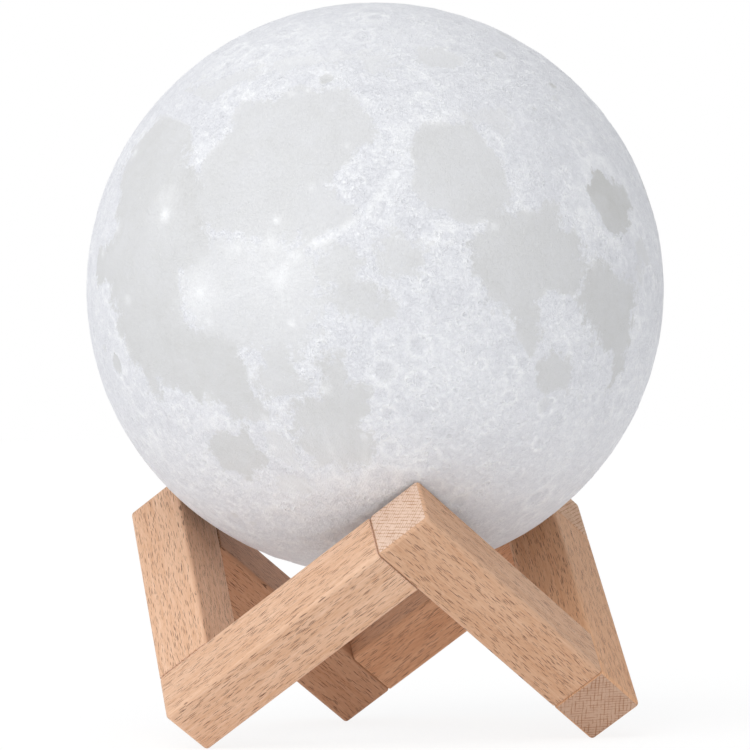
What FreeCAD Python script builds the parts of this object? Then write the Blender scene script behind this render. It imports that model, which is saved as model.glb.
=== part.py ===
import FreeCAD, Part
import math
import os

# Moon lamp: a printed globe that rests in a zigzag stand of six equal square bars.
# Lengths are millimetres, +Z is up, and the origin is on the table at the stand's centre.

# Stand bars
bar_length = 70.0
bar_width = 16.0
bar_round = 1.2
bar_count = 6

# Stand dowels
dowel_radius = 3.0
dowel_depth = 10.0
dowel_chamfer = 0.6
dowel_hole_clearance = 0.05
dowel_end_clearance = 0.5

# Globe shell
globe_radius = 75.0
globe_half_height = 74.35
globe_wall = 2.0
globe_rest_gap = 0.4
mouth_rise = 2.75
mouth_clearance = 0.3
collar_wall = 3.0
collar_height = 8.0

# Base housing and the glue ring under the globe
flange_overlap = 2.6
flange_thickness = 1.6
glue_ring_thickness = 0.4
glue_ring_setback = 0.3
cup_wall = 1.3
cup_floor = 2.0
board_clearance = 0.6
board_post_radius = 1.9
board_post_setback = 3.0

# Touch ring, its pin and its leaf contact
touch_ring_setback = 1.7
touch_ring_width = 2.5
touch_ring_thickness = 0.8
touch_ring_clearance = 0.05
touch_pin_radius = 0.6
touch_pin_rise = 0.6
leaf_width = 2.0
leaf_thickness = 0.3
leaf_reach = 4.0

# Charging socket
socket_width = 8.94
socket_depth = 3.26
socket_length = 9.0
socket_wall = 0.3
socket_recess = 1.0
socket_back = 1.6
socket_clearance = 0.15
tongue_width = 6.7
tongue_thickness = 0.7
tongue_recess = 0.8
contact_pitch = 0.5
contact_width = 0.26
contact_thickness = 0.06
contact_length = 4.2
contact_count = 12

# Charge light and its light pipe
pipe_radius = 1.0
pipe_place = 6.6
pipe_clearance = 0.05
charge_light_width = 1.6
charge_light_depth = 1.2
charge_light_height = 0.8

# Main board and what is soldered to it
board_radius = 13.8
board_thickness = 1.2
control_chip_length = 5.0
control_chip_width = 4.0
control_chip_height = 1.6
control_chip_x = -1.5
control_chip_y = 7.0
driver_chip_length = 3.0
driver_chip_width = 3.0
driver_chip_height = 1.1
driver_chip_x = 5.5
driver_chip_y = 7.0
chip_standoff = 0.15
pin_width = 0.4
pin_pitch = 1.0
pin_reach = 0.9
pin_thickness = 0.2
pins_per_side = 3
coil_radius = 2.2
coil_height = 2.6
coil_flange_height = 0.5
coil_waist = 0.5
coil_x = 1.5
coil_y = -7.5
capacitor_length = 2.0
capacitor_width = 1.25
capacitor_height = 0.9
capacitor_y = 2.6
capacitor_pitch = 3.2
capacitor_count = 3

# Battery header and plug
header_length = 6.0
header_width = 4.6
header_height = 4.0
header_wall = 0.6
header_x = -6.0
header_y = -6.0
plug_clearance = 0.1
plug_rise = 1.6
plug_lead_spacing = 2.0

# Battery, its tape and its protection board
battery_length = 22.0
battery_width = 13.0
battery_height = 9.5
battery_clearance = 1.7
battery_side_clearance = 1.1
battery_round = 1.5
tape_thickness = 1.0
tape_length = 16.0
tape_width = 9.0
guard_board_gap = 0.1
guard_board_thickness = 1.4
guard_board_length = 9.0
guard_board_height = 4.0
guard_board_drop = 1.5

# Leads
lead_radius = 0.5
lead_bend_radius = 1.4
battery_lead_level = 2.5
battery_lead_spacing = 3.0
light_lead_x = 6.5
light_lead_pitch = 1.3
light_lead_side_clearance = 0.6
light_lead_bend = 1.0
light_lead_run = 1.0
light_lead_gap = 0.2

# Lid and light plate
lid_thickness = 1.6
lid_spigot_depth = 2.0
lid_spigot_wall = 1.2
lid_clearance = 0.1
lid_post_radius = 1.8
lid_post_depth = 3.0
lid_post_setback = 2.8
plate_setback = 3.1
plate_thickness = 1.2
light_length = 3.5
light_width = 2.8
light_height = 0.8
light_circle_setback = 3.8
light_count = 6
first_light_angle = 30

# Screws
screw_radius = 0.95
screw_length = 4.0
screw_head_radius = 1.8
screw_head_height = 1.3
screw_slot_width = 0.5
screw_slot_depth = 0.5
screw_hole_clearance = 0.05

# Every cut runs past the face that it opens by this much.
overrun = 1.0
solver_steps = 60

os.makedirs("parts", exist_ok=True)


def vector(x, y, z):
    return FreeCAD.Vector(x, y, z)


def box(length, width, height, x, y, z):
    """A block centred on x and y that stands on height z."""
    corner = vector(x - length / 2, y - width / 2, z)
    return Part.makeBox(length, width, height, corner)


def cylinder(radius, height, x, y, z):
    return Part.makeCylinder(radius, height, vector(x, y, z))


def ring(outer_radius, inner_radius, height, z):
    outer = cylinder(outer_radius, height, 0, 0, z)
    return outer.cut(cylinder(inner_radius, height, 0, 0, z))


def stadium(length, width, height, x, y, z):
    """A block with half round ends along X."""
    end_radius = width / 2
    shape = box(length - width, width, height, x, y, z)
    for side in (-1, 1):
        end_x = x + side * (length / 2 - end_radius)
        shape = shape.fuse(cylinder(end_radius, height, end_x, y, z))
    return shape.removeSplitter()


def save(name, shape):
    shape.exportStep("parts/" + name + ".step")


# The stand's bars follow the six edges of a cube that stands on one corner,
# leaving out the edges at its top and bottom corners.
ring_radius = bar_length * math.sqrt(2 / 3)
corner_rise = bar_length / (2 * math.sqrt(3))
corner_block_rise = (bar_width / 2 - bar_round) * math.sqrt(3)
stand_middle_height = corner_rise + corner_block_rise + bar_round
first_corner_angle = -90


def stand_corner(number):
    """Centre of the block where two bars meet: even ones are high and odd ones are low."""
    angle = math.radians(first_corner_angle + number * 360 / bar_count)
    side = 1 if number % 2 == 0 else -1
    x = ring_radius * math.cos(angle)
    y = ring_radius * math.sin(angle)
    return vector(x, y, stand_middle_height + side * corner_rise)


def bar_direction(number):
    direction = stand_corner(number + 1) - stand_corner(number)
    return direction.normalize()


def bar_placement(number):
    """Local X runs along the bar, and local Y points at the bar that butts against its side."""
    along = bar_direction(number)
    towards_neighbour = bar_direction(number - 1) * -1
    rotation = FreeCAD.Rotation(along, towards_neighbour, along.cross(towards_neighbour), "XYZ")
    start = stand_corner(number) - along * (bar_width / 2)
    return FreeCAD.Placement(start, rotation)


def stand_bar(number):
    half = bar_width / 2
    shape = Part.makeBox(bar_length, bar_width, bar_width, vector(0, -half, -half))
    rounded = []
    for edge in shape.Edges:
        lowest = min(vertex.Point.x for vertex in edge.Vertexes)
        if lowest < half:
            rounded.append(edge)
    shape = shape.makeFillet(bar_round, rounded)
    hole_radius = dowel_radius + dowel_hole_clearance
    hole_depth = dowel_depth + dowel_end_clearance
    end_start = vector(bar_length - hole_depth, 0, 0)
    end_hole = Part.makeCylinder(hole_radius, hole_depth + overrun, end_start, vector(1, 0, 0))
    side_start = vector(half, half - hole_depth, 0)
    side_hole = Part.makeCylinder(hole_radius, hole_depth + overrun, side_start, vector(0, 1, 0))
    shape = shape.cut(end_hole).cut(side_hole)
    shape.Placement = bar_placement(number)
    return shape


def stand_dowel(number):
    """The dowel between the end of one bar and the side of the next."""
    shape = Part.makeCylinder(dowel_radius, 2 * dowel_depth, vector(-dowel_depth, 0, 0), vector(1, 0, 0))
    round_edges = [edge for edge in shape.Edges if edge.Closed]
    shape = shape.makeChamfer(dowel_chamfer, round_edges)
    placement = bar_placement(number)
    joint = stand_corner(number + 1) - bar_direction(number) * (bar_width / 2)
    shape.Placement = FreeCAD.Placement(joint, placement.Rotation)
    return shape


def globe_height():
    """Height of the globe's centre when it rests on the stand's three high corners."""
    offset = bar_round + globe_rest_gap
    low_angle = 0.0
    high_angle = math.pi / 2
    for step in range(solver_steps):
        angle = (low_angle + high_angle) / 2
        across = math.cos(angle) / globe_radius
        upward = math.sin(angle) / globe_half_height
        size = math.hypot(across, upward)
        reach = globe_radius * math.cos(angle) + offset * across / size
        if reach > ring_radius:
            low_angle = angle
        else:
            high_angle = angle
    drop = globe_half_height * math.sin(angle) + offset * upward / size
    return stand_middle_height + corner_rise + corner_block_rise + drop


# The cup is as wide as the wider of the two things it holds: the board, or the battery
# with its protection board. What is under the globe and on the lid follows the cup.
battery_end = battery_length / 2 + guard_board_gap + guard_board_thickness
battery_reach = math.hypot(battery_end, guard_board_length / 2)
board_room = board_radius + board_clearance
battery_room = battery_reach + battery_side_clearance
cup_inner_radius = max(board_room, battery_room)
cup_radius = cup_inner_radius + cup_wall
mouth_radius = cup_radius + mouth_clearance
flange_radius = mouth_radius + flange_overlap
glue_ring_radius = flange_radius - glue_ring_setback
touch_ring_radius = cup_radius - touch_ring_setback
board_post_place = board_radius - board_post_setback
plate_radius = cup_radius - plate_setback
lid_post_place = plate_radius - lid_post_setback
light_circle_radius = lid_post_place - light_circle_setback
light_lead_y = -(battery_width / 2 + lead_radius + light_lead_side_clearance)

globe_level = globe_height()
mouth_level = globe_level - globe_half_height + mouth_rise
base_level = mouth_level - glue_ring_thickness - flange_thickness


def oval(radius, half_height):
    """A solid of revolution about the vertical axis, centred on the globe's centre."""
    stretch = FreeCAD.Matrix()
    stretch.scale(1, 1, half_height / radius)
    shape = Part.makeSphere(radius).transformGeometry(stretch)
    shape.translate(vector(0, 0, globe_level))
    return shape


def globe_shell():
    outer = oval(globe_radius, globe_half_height)
    below = cylinder(globe_radius, globe_half_height, 0, 0, mouth_level - globe_half_height)
    outer = outer.cut(below)
    shape = outer.cut(oval(globe_radius - globe_wall, globe_half_height - globe_wall))
    collar = cylinder(mouth_radius + collar_wall, collar_height, 0, 0, mouth_level)
    shape = shape.fuse(collar)
    mouth = cylinder(mouth_radius, collar_height + 2 * overrun, 0, 0, mouth_level - overrun)
    return shape.cut(mouth)


def glue_ring():
    return ring(glue_ring_radius, mouth_radius, glue_ring_thickness, base_level + flange_thickness)


board_level = base_level + socket_recess + socket_length
board_top = board_level + board_thickness
plug_top = board_top + header_height + plug_rise
touch_pin_place = touch_ring_radius - touch_ring_width / 2
post_places = [-board_post_place, board_post_place]

# The cup is as high as what it holds: plug, leads, battery and tape, up to the lid.
battery_level = plug_top + battery_lead_level + lead_radius + battery_clearance
lid_level = battery_level + battery_height + tape_thickness
cup_height = lid_level - base_level


def base_housing():
    floor_top = base_level + cup_floor
    shape = cylinder(cup_radius, cup_height, 0, 0, base_level)
    shape = shape.fuse(cylinder(flange_radius, flange_thickness, 0, 0, base_level))
    shape = shape.cut(cylinder(cup_inner_radius, cup_height, 0, 0, floor_top))
    for x in post_places:
        shape = shape.fuse(cylinder(board_post_radius, board_level - floor_top, x, 0, floor_top))
        pilot = cylinder(screw_radius + screw_hole_clearance, screw_length, x, 0, board_level - screw_length)
        shape = shape.cut(pilot)
    groove_outer = touch_ring_radius + touch_ring_clearance
    groove_inner = touch_ring_radius - touch_ring_width - touch_ring_clearance
    shape = shape.cut(ring(groove_outer, groove_inner, touch_ring_thickness, base_level))
    pin_hole_radius = touch_pin_radius + touch_ring_clearance
    shape = shape.cut(cylinder(pin_hole_radius, cup_floor + overrun, 0, touch_pin_place, base_level))
    opening_length = socket_width + 2 * socket_clearance
    opening_width = socket_depth + 2 * socket_clearance
    opening_height = cup_floor + 2 * overrun
    shape = shape.cut(stadium(opening_length, opening_width, opening_height, 0, 0, base_level - overrun))
    pipe_hole_radius = pipe_radius + pipe_clearance
    return shape.cut(cylinder(pipe_hole_radius, opening_height, 0, -pipe_place, base_level - overrun))


def touch_ring():
    shape = ring(touch_ring_radius, touch_ring_radius - touch_ring_width, touch_ring_thickness, base_level)
    pin_height = cup_floor + touch_pin_rise
    return shape.fuse(cylinder(touch_pin_radius, pin_height, 0, touch_pin_place, base_level))


def touch_leaf():
    """A strip that stands on the pin, slopes back and lies flat against the board's underside."""
    pin_top = base_level + cup_floor + touch_pin_rise
    near = touch_pin_place + touch_pin_radius
    far = near - leaf_reach
    outline = [
        (near, pin_top),
        (near - 2 * touch_pin_radius - leaf_thickness, pin_top),
        (far, board_level - leaf_thickness),
        (far, board_level),
        (near, board_level),
        (near, board_level - leaf_thickness),
        (far + leaf_thickness, board_level - leaf_thickness),
        (near - 2 * touch_pin_radius, pin_top + leaf_thickness),
        (near, pin_top + leaf_thickness),
    ]
    points = [vector(-leaf_width / 2, y, z) for y, z in outline]
    wire = Part.makePolygon(points + [points[0]])
    return Part.Face(wire).extrude(vector(leaf_width, 0, 0))


socket_mouth_level = base_level + socket_recess
socket_back_level = socket_mouth_level + socket_length - socket_back


def socket_shell():
    outer = stadium(socket_width, socket_depth, socket_length, 0, 0, socket_mouth_level)
    inner_width = socket_width - 2 * socket_wall
    inner_depth = socket_depth - 2 * socket_wall
    return outer.cut(stadium(inner_width, inner_depth, socket_length, 0, 0, socket_mouth_level))


def socket_tongue():
    inner_width = socket_width - 2 * socket_wall
    inner_depth = socket_depth - 2 * socket_wall
    back = stadium(inner_width, inner_depth, socket_back, 0, 0, socket_back_level)
    tongue_level = socket_mouth_level + tongue_recess
    tongue_length = socket_back_level - tongue_level
    return back.fuse(box(tongue_width, tongue_thickness, tongue_length, 0, 0, tongue_level))


def socket_contacts():
    strips = []
    start = socket_back_level - contact_length
    for number in range(contact_count):
        x = (number - (contact_count - 1) / 2) * contact_pitch
        for side in (-1, 1):
            y = side * (tongue_thickness + contact_thickness) / 2
            strips.append(box(contact_width, contact_thickness, contact_length, x, y, start))
    return Part.makeCompound(strips)


def light_pipe():
    height = board_level - charge_light_height - base_level
    return cylinder(pipe_radius, height, 0, -pipe_place, base_level)


def charge_light():
    level = board_level - charge_light_height
    return box(charge_light_width, charge_light_depth, charge_light_height, 0, -pipe_place, level)


def main_board():
    shape = cylinder(board_radius, board_thickness, 0, 0, board_level)
    for x in post_places:
        hole_radius = screw_radius + screw_hole_clearance
        shape = shape.cut(cylinder(hole_radius, board_thickness, x, 0, board_level))
    return shape


def chips():
    level = board_top + chip_standoff
    control = box(control_chip_length, control_chip_width, control_chip_height,
                  control_chip_x, control_chip_y, level)
    driver = box(driver_chip_length, driver_chip_width, driver_chip_height,
                 driver_chip_x, driver_chip_y, level)
    return Part.makeCompound([control, driver])


def chip_pins():
    """Flat feet on two sides of each chip, with an upright that meets the chip's side."""
    feet = []
    rows = [
        (control_chip_x, control_chip_y, control_chip_width),
        (driver_chip_x, driver_chip_y, driver_chip_width),
    ]
    for x, y, width in rows:
        for number in range(pins_per_side):
            pin_x = x + (number - (pins_per_side - 1) / 2) * pin_pitch
            for side in (-1, 1):
                foot_y = y + side * (width + pin_reach) / 2
                foot = box(pin_width, pin_reach, pin_thickness, pin_x, foot_y, board_top)
                upright_y = y + side * (width + pin_thickness) / 2
                upright_height = chip_standoff + 2 * pin_thickness
                upright = box(pin_width, pin_thickness, upright_height, pin_x, upright_y, board_top)
                feet.append(foot.fuse(upright).removeSplitter())
    return Part.makeCompound(feet)


def coil():
    shape = cylinder(coil_radius, coil_height, coil_x, coil_y, board_top)
    waist_height = coil_height - 2 * coil_flange_height
    waist_level = board_top + coil_flange_height
    groove = cylinder(coil_radius, waist_height, coil_x, coil_y, waist_level)
    groove = groove.cut(cylinder(coil_radius - coil_waist, waist_height, coil_x, coil_y, waist_level))
    return shape.cut(groove)


def capacitors():
    blocks = []
    for number in range(capacitor_count):
        x = (number - (capacitor_count - 1) / 2) * capacitor_pitch
        blocks.append(box(capacitor_length, capacitor_width, capacitor_height, x, capacitor_y, board_top))
    return Part.makeCompound(blocks)


def battery_header():
    shape = box(header_length, header_width, header_height, header_x, header_y, board_top)
    inner_length = header_length - 2 * header_wall
    inner_width = header_width - 2 * header_wall
    inside = box(inner_length, inner_width, header_height, header_x, header_y, board_top + header_wall)
    return shape.cut(inside)


def battery_plug():
    length = header_length - 2 * header_wall - 2 * plug_clearance
    width = header_width - 2 * header_wall - 2 * plug_clearance
    level = board_top + header_wall
    return box(length, width, plug_top - level, header_x, header_y, level)


def battery_cell():
    shape = box(battery_length, battery_width, battery_height, 0, 0, battery_level)
    long_edges = []
    for edge in shape.Edges:
        across = edge.Vertexes[0].Point - edge.Vertexes[1].Point
        if abs(across.y) > battery_width / 2:
            long_edges.append(edge)
    return shape.makeFillet(battery_round, long_edges)


def battery_tape():
    return box(tape_length, tape_width, tape_thickness, 0, 0, battery_level + battery_height)


guard_board_x = -(battery_length + guard_board_thickness) / 2 - guard_board_gap
guard_board_level = battery_level + guard_board_drop


def guard_board():
    return box(guard_board_thickness, guard_board_length, guard_board_height,
               guard_board_x, 0, guard_board_level)


def lead(points, bend_radius):
    """A round lead along straight runs joined by tangent arcs."""
    edges = []
    start = points[0]
    for before, corner, after in zip(points, points[1:], points[2:]):
        back = (before - corner).normalize()
        forth = (after - corner).normalize()
        half_angle = back.getAngle(forth) / 2
        setback = bend_radius / math.tan(half_angle)
        arc_start = corner + back * setback
        arc_end = corner + forth * setback
        middle = (back + forth).normalize()
        arc_centre = corner + middle * (bend_radius / math.sin(half_angle))
        arc_middle = arc_centre - middle * bend_radius
        edges.append(Part.makeLine(start, arc_start))
        edges.append(Part.Arc(arc_start, arc_middle, arc_end).toShape())
        start = arc_end
    edges.append(Part.makeLine(start, points[-1]))
    path = Part.Wire(edges)
    section = Part.Wire(Part.makeCircle(lead_radius, points[0], points[1] - points[0]))
    return path.makePipeShell([section], True, False)


def battery_lead(side):
    """From the plug's top, under the battery, and up to the protection board's lower edge."""
    plug_x = header_x + side * plug_lead_spacing / 2
    guard_y = side * battery_lead_spacing / 2
    level = plug_top + battery_lead_level
    points = [
        vector(plug_x, header_y, plug_top),
        vector(plug_x, header_y, level),
        vector(guard_board_x, guard_y, level),
        vector(guard_board_x, guard_y, guard_board_level),
    ]
    return lead(points, lead_bend_radius)


plate_level = lid_level + lid_thickness
plate_top = plate_level + plate_thickness


def light_lead(number):
    """From the main board up through the lid and the light plate, and over to its pad."""
    x = light_lead_x + (number - 1) * light_lead_pitch
    top = plate_top + lead_radius
    points = [
        vector(x, light_lead_y, board_top),
        vector(x, light_lead_y, top),
        vector(x, light_lead_y + light_lead_bend + light_lead_run, top),
    ]
    return lead(points, light_lead_bend)


def lead_slot(height, z):
    """The gap for the three leads, which reaches to the end of their bends."""
    length = 2 * light_lead_pitch + 2 * lead_radius + 2 * light_lead_gap
    near = light_lead_y - lead_radius - light_lead_gap
    far = light_lead_y + light_lead_bend
    return box(length, far - near, height, light_lead_x, (near + far) / 2, z)


def lid_posts(radius, height, z):
    posts = [cylinder(radius, height, 0, side * lid_post_place, z) for side in (-1, 1)]
    return Part.makeCompound(posts)


def base_lid():
    shape = cylinder(cup_radius, lid_thickness, 0, 0, lid_level)
    spigot_radius = cup_inner_radius - lid_clearance
    spigot = ring(spigot_radius, spigot_radius - lid_spigot_wall, lid_spigot_depth,
                  lid_level - lid_spigot_depth)
    shape = shape.fuse(spigot)
    for side in (-1, 1):
        post = cylinder(lid_post_radius, lid_post_depth, 0, side * lid_post_place, lid_level - lid_post_depth)
        shape = shape.fuse(post)
    pilot_level = plate_top - screw_length
    shape = shape.cut(lid_posts(screw_radius + screw_hole_clearance, screw_length, pilot_level))
    slot_level = lid_level - lid_spigot_depth - overrun
    return shape.cut(lead_slot(lid_level + lid_thickness + overrun - slot_level, slot_level))


def light_plate():
    shape = cylinder(plate_radius, plate_thickness, 0, 0, plate_level)
    shape = shape.cut(lid_posts(screw_radius + screw_hole_clearance, plate_thickness, plate_level))
    return shape.cut(lead_slot(plate_thickness + 2 * overrun, plate_level - overrun))


def lights(first):
    """Every second light on the circle, starting at the given one."""
    blocks = []
    for number in range(first, light_count, 2):
        angle = first_light_angle + number * 360 / light_count
        block = box(light_length, light_width, light_height, light_circle_radius, 0, plate_top)
        block.rotate(vector(0, 0, 0), vector(0, 0, 1), angle)
        blocks.append(block)
    return Part.makeCompound(blocks)


def screw(x, y, seat_level):
    """A slotted screw whose head stands on the given level."""
    shape = cylinder(screw_radius, screw_length, x, y, seat_level - screw_length)
    shape = shape.fuse(cylinder(screw_head_radius, screw_head_height, x, y, seat_level))
    slot_level = seat_level + screw_head_height - screw_slot_depth
    slot_length = 2 * screw_head_radius + 2 * overrun
    return shape.cut(box(slot_length, screw_slot_width, screw_slot_depth + overrun, x, y, slot_level))


def board_screws():
    return Part.makeCompound([screw(x, 0, board_top) for x in post_places])


def plate_screws():
    return Part.makeCompound([screw(0, side * lid_post_place, plate_top) for side in (-1, 1)])


# Bars 0, 1 and 2 form the half that pulls off, and bars 3, 4 and 5 the half that stays.
for number in range(bar_count):
    save("stand_bar_" + str(number + 1), stand_bar(number))
save("glued_dowels_pull_half", Part.makeCompound([stand_dowel(0), stand_dowel(1)]))
save("glued_dowels_fixed_half", Part.makeCompound([stand_dowel(3), stand_dowel(4)]))
save("plug_dowel_low", stand_dowel(2))
save("plug_dowel_high", stand_dowel(5))

save("globe_shell", globe_shell())
save("glue_ring", glue_ring())
save("base_housing", base_housing())
save("touch_ring", touch_ring())
save("touch_leaf", touch_leaf())
save("socket_shell", socket_shell())
save("socket_tongue", socket_tongue())
save("socket_contacts", socket_contacts())
save("light_pipe", light_pipe())
save("charge_light", charge_light())
save("main_board", main_board())
save("board_screws", board_screws())
save("chips", chips())
save("chip_pins", chip_pins())
save("coil", coil())
save("capacitors", capacitors())
save("battery_header", battery_header())
save("battery_plug", battery_plug())
save("battery_cell", battery_cell())
save("battery_tape", battery_tape())
save("guard_board", guard_board())
save("battery_lead_plus", battery_lead(1))
save("battery_lead_minus", battery_lead(-1))
save("base_lid", base_lid())
save("light_plate", light_plate())
save("plate_screws", plate_screws())
save("warm_lights", lights(0))
save("cool_lights", lights(1))
save("light_lead_common", light_lead(0))
save("light_lead_warm", light_lead(1))
save("light_lead_cool", light_lead(2))
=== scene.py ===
"""Dresses the moon lamp: its relief globe, its beech stand and the light base under the globe."""

import math

import bmesh
import bpy
import numpy
from mathutils import Matrix, Vector, noise


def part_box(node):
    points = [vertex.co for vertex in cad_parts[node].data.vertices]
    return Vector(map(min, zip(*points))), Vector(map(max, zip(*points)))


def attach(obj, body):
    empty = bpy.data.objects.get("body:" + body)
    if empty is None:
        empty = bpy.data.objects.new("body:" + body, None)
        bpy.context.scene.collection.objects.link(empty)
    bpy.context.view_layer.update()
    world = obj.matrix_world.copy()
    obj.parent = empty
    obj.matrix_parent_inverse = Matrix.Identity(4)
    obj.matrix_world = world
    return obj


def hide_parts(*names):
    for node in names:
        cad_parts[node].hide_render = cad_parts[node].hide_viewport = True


bl_info = {
    "name": "Moon lamp",
    "version": (1, 0, 0),
    "blender": (4, 5, 0),
    "location": "3D View > Sidebar > Moon lamp",
    "description": "Relief globe, beech stand and light base of a table lamp",
    "category": "Object",
}

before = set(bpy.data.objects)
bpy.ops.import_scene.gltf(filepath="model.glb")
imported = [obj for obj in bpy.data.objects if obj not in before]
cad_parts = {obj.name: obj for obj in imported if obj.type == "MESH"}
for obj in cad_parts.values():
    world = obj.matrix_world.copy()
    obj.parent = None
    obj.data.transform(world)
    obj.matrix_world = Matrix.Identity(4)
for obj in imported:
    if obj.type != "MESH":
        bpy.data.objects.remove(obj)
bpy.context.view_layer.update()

MM = 0.001


def colour(red, green, blue):
    """A colour read off a screen, as the linear values that Blender's sockets hold."""
    values = []
    for value in (red, green, blue):
        value = value / 255
        values.append(value / 12.92 if value <= 0.04045 else ((value + 0.055) / 1.055) ** 2.4)
    return (*values, 1.0)


def number_setting(name, description, default, **choices):
    return bpy.props.FloatProperty(name=name, description=description, default=default, **choices)


def length_setting(name, description, millimetres):
    return number_setting(name, description, millimetres * MM, min=0.0, precision=5, unit="LENGTH")


def angle_setting(name, description, degrees):
    return number_setting(name, description, math.radians(degrees), subtype="ANGLE")


def share_setting(name, description, default):
    return number_setting(name, description, default, min=0.0, max=1.0, subtype="FACTOR")


def colour_setting(name, description, red, green, blue):
    return bpy.props.FloatVectorProperty(
        name=name, description=description, default=colour(red, green, blue), size=4, min=0.0, max=1.0,
        subtype="COLOR"
    )


class GlobeSettings(bpy.types.PropertyGroup):
    radius: length_setting("Radius", "Half the globe's width", 75)
    half_height: length_setting("Half height", "Half the globe's height, a little under its radius", 74.35)
    wall: length_setting("Wall", "Thickness of the printed shell", 2)
    relief_room: length_setting("Relief room", "Depth under the globe's outline that the relief has", 0.3)
    mouth_radius: length_setting("Mouth radius", "Radius of the hole that the light base is glued into", 16)
    collar_wall: length_setting("Collar wall", "Thickness of the collar inside the mouth", 3)
    collar_height: length_setting("Collar height", "Height of the collar inside the mouth", 8)
    cells: bpy.props.IntProperty(
        name="Cells", description="Cells along a quarter of the globe's girth", default=124, min=16, max=126
    )
    dark: colour_setting("Seas", "Print colour of the darkest seas", 200, 200, 199)
    shade: colour_setting("Hollows", "Print colour of the hollows in the highlands", 213, 214, 219)
    plain: colour_setting("Highlands", "Print colour of the highlands", 232, 233, 238)
    bright: colour_setting("Rays", "Print colour of the bright craters and rays", 252, 253, 255)


class StandSettings(bpy.types.PropertyGroup):
    bar_length: length_setting("Bar length", "Length of one bar of the stand", 70)
    bar_width: length_setting("Bar width", "Width and depth of one bar", 16)
    rounding: length_setting("Rounding", "Radius of the bars' eased edges", 1.2)
    butt_chamfer: length_setting("Butt chamfer", "Small bevel round each bar's butt end", 0.3)
    dowel_hole_radius: length_setting("Dowel hole radius", "Radius of the dowel holes", 3.05)
    dowel_hole_depth: length_setting("Dowel hole depth", "Depth of the dowel holes", 10.5)
    wood: colour_setting("Wood", "Colour of the planed beech", 227, 188, 157)
    deep_wood: colour_setting("Deep wood", "Colour of the darker growth rings", 209, 160, 123)
    fleck: colour_setting("Flecks", "Colour of the short dark flecks in the beech", 88, 44, 22)
    end_wood: colour_setting("End grain", "Colour of the sawn end grain", 231, 200, 176)
    end_ring: colour_setting("End rings", "Colour of the rings and rays on the end grain", 186, 141, 108)


class BaseSettings(bpy.types.PropertyGroup):
    plastic: colour_setting("Plastic", "Colour of the moulded base and lid", 236, 236, 234)
    board: colour_setting("Board", "Colour of the circuit board's solder mask", 22, 92, 52)
    battery: colour_setting("Battery", "Colour of the battery's foil wrap", 176, 180, 184)


class StageSettings(bpy.types.PropertyGroup):
    sky: number_setting("Sky", "Mean strength of the light from all round", 0.65, min=0.0)
    sky_lean: share_setting("Sky lean", "Share by which the left is stronger and the right weaker", 0.33)
    key: number_setting("Key light", "Strength of the soft light from the upper front left", 1.40, min=0.0)
    floor_shadow: share_setting("Floor shadow", "Share of the floor's white that shadows can take", 0.16)
    camera_distance: length_setting("Camera distance", "From the camera to the lamp's middle", 1189.5)
    camera_turn: angle_setting("Camera turn", "Angle of the camera round the lamp", -9.68)
    camera_rise: angle_setting("Camera rise", "Angle of the camera above the lamp's middle", -0.401)
    camera_roll: angle_setting("Camera roll", "Tilt of the picture", -0.851)
    camera_lens: number_setting("Lens", "Focal length in millimetres on a 36 mm sensor", 220.14, min=10.0)


def settings(context, name):
    return getattr(context.scene, "moonlamp_" + name)


# Node materials

class Nodes:
    """Adds nodes to a tree and links them."""

    def __init__(self, tree):
        self.tree = tree

    def feed(self, socket, value):
        if isinstance(value, bpy.types.NodeSocket):
            self.tree.links.new(value, socket)
        else:
            socket.default_value = value

    def add(self, kind, inputs, **choices):
        node = self.tree.nodes.new("ShaderNode" + kind)
        for name, value in choices.items():
            setattr(node, name, value)
        for name, value in inputs.items():
            self.feed(node.inputs[name], value)
        return node

    def maths(self, operation, first, second=0.0, third=0.0, clamp=False):
        inputs = {0: first, 1: second, 2: third}
        return self.add("Math", inputs, operation=operation, use_clamp=clamp).outputs[0]

    def times(self, first, second):
        return self.maths("MULTIPLY", first, second)

    def sum(self, start, *shares):
        """The start plus each value times its share."""
        total = start
        for value, share in shares:
            total = self.maths("MULTIPLY_ADD", value, share, total)
        return total

    def part(self, vector, axis):
        """One of a vector's three numbers."""
        return self.add("SeparateXYZ", {0: vector}).outputs[axis]

    def camera_rays(self):
        """1 for rays that the camera, a reflection or clear plastic sends, and 0 for the rest."""
        path = self.add("LightPath", {}).outputs
        seen = self.maths("MAXIMUM", path["Is Camera Ray"], path["Is Glossy Ray"])
        return self.maths("MAXIMUM", seen, path["Is Transmission Ray"])


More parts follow.
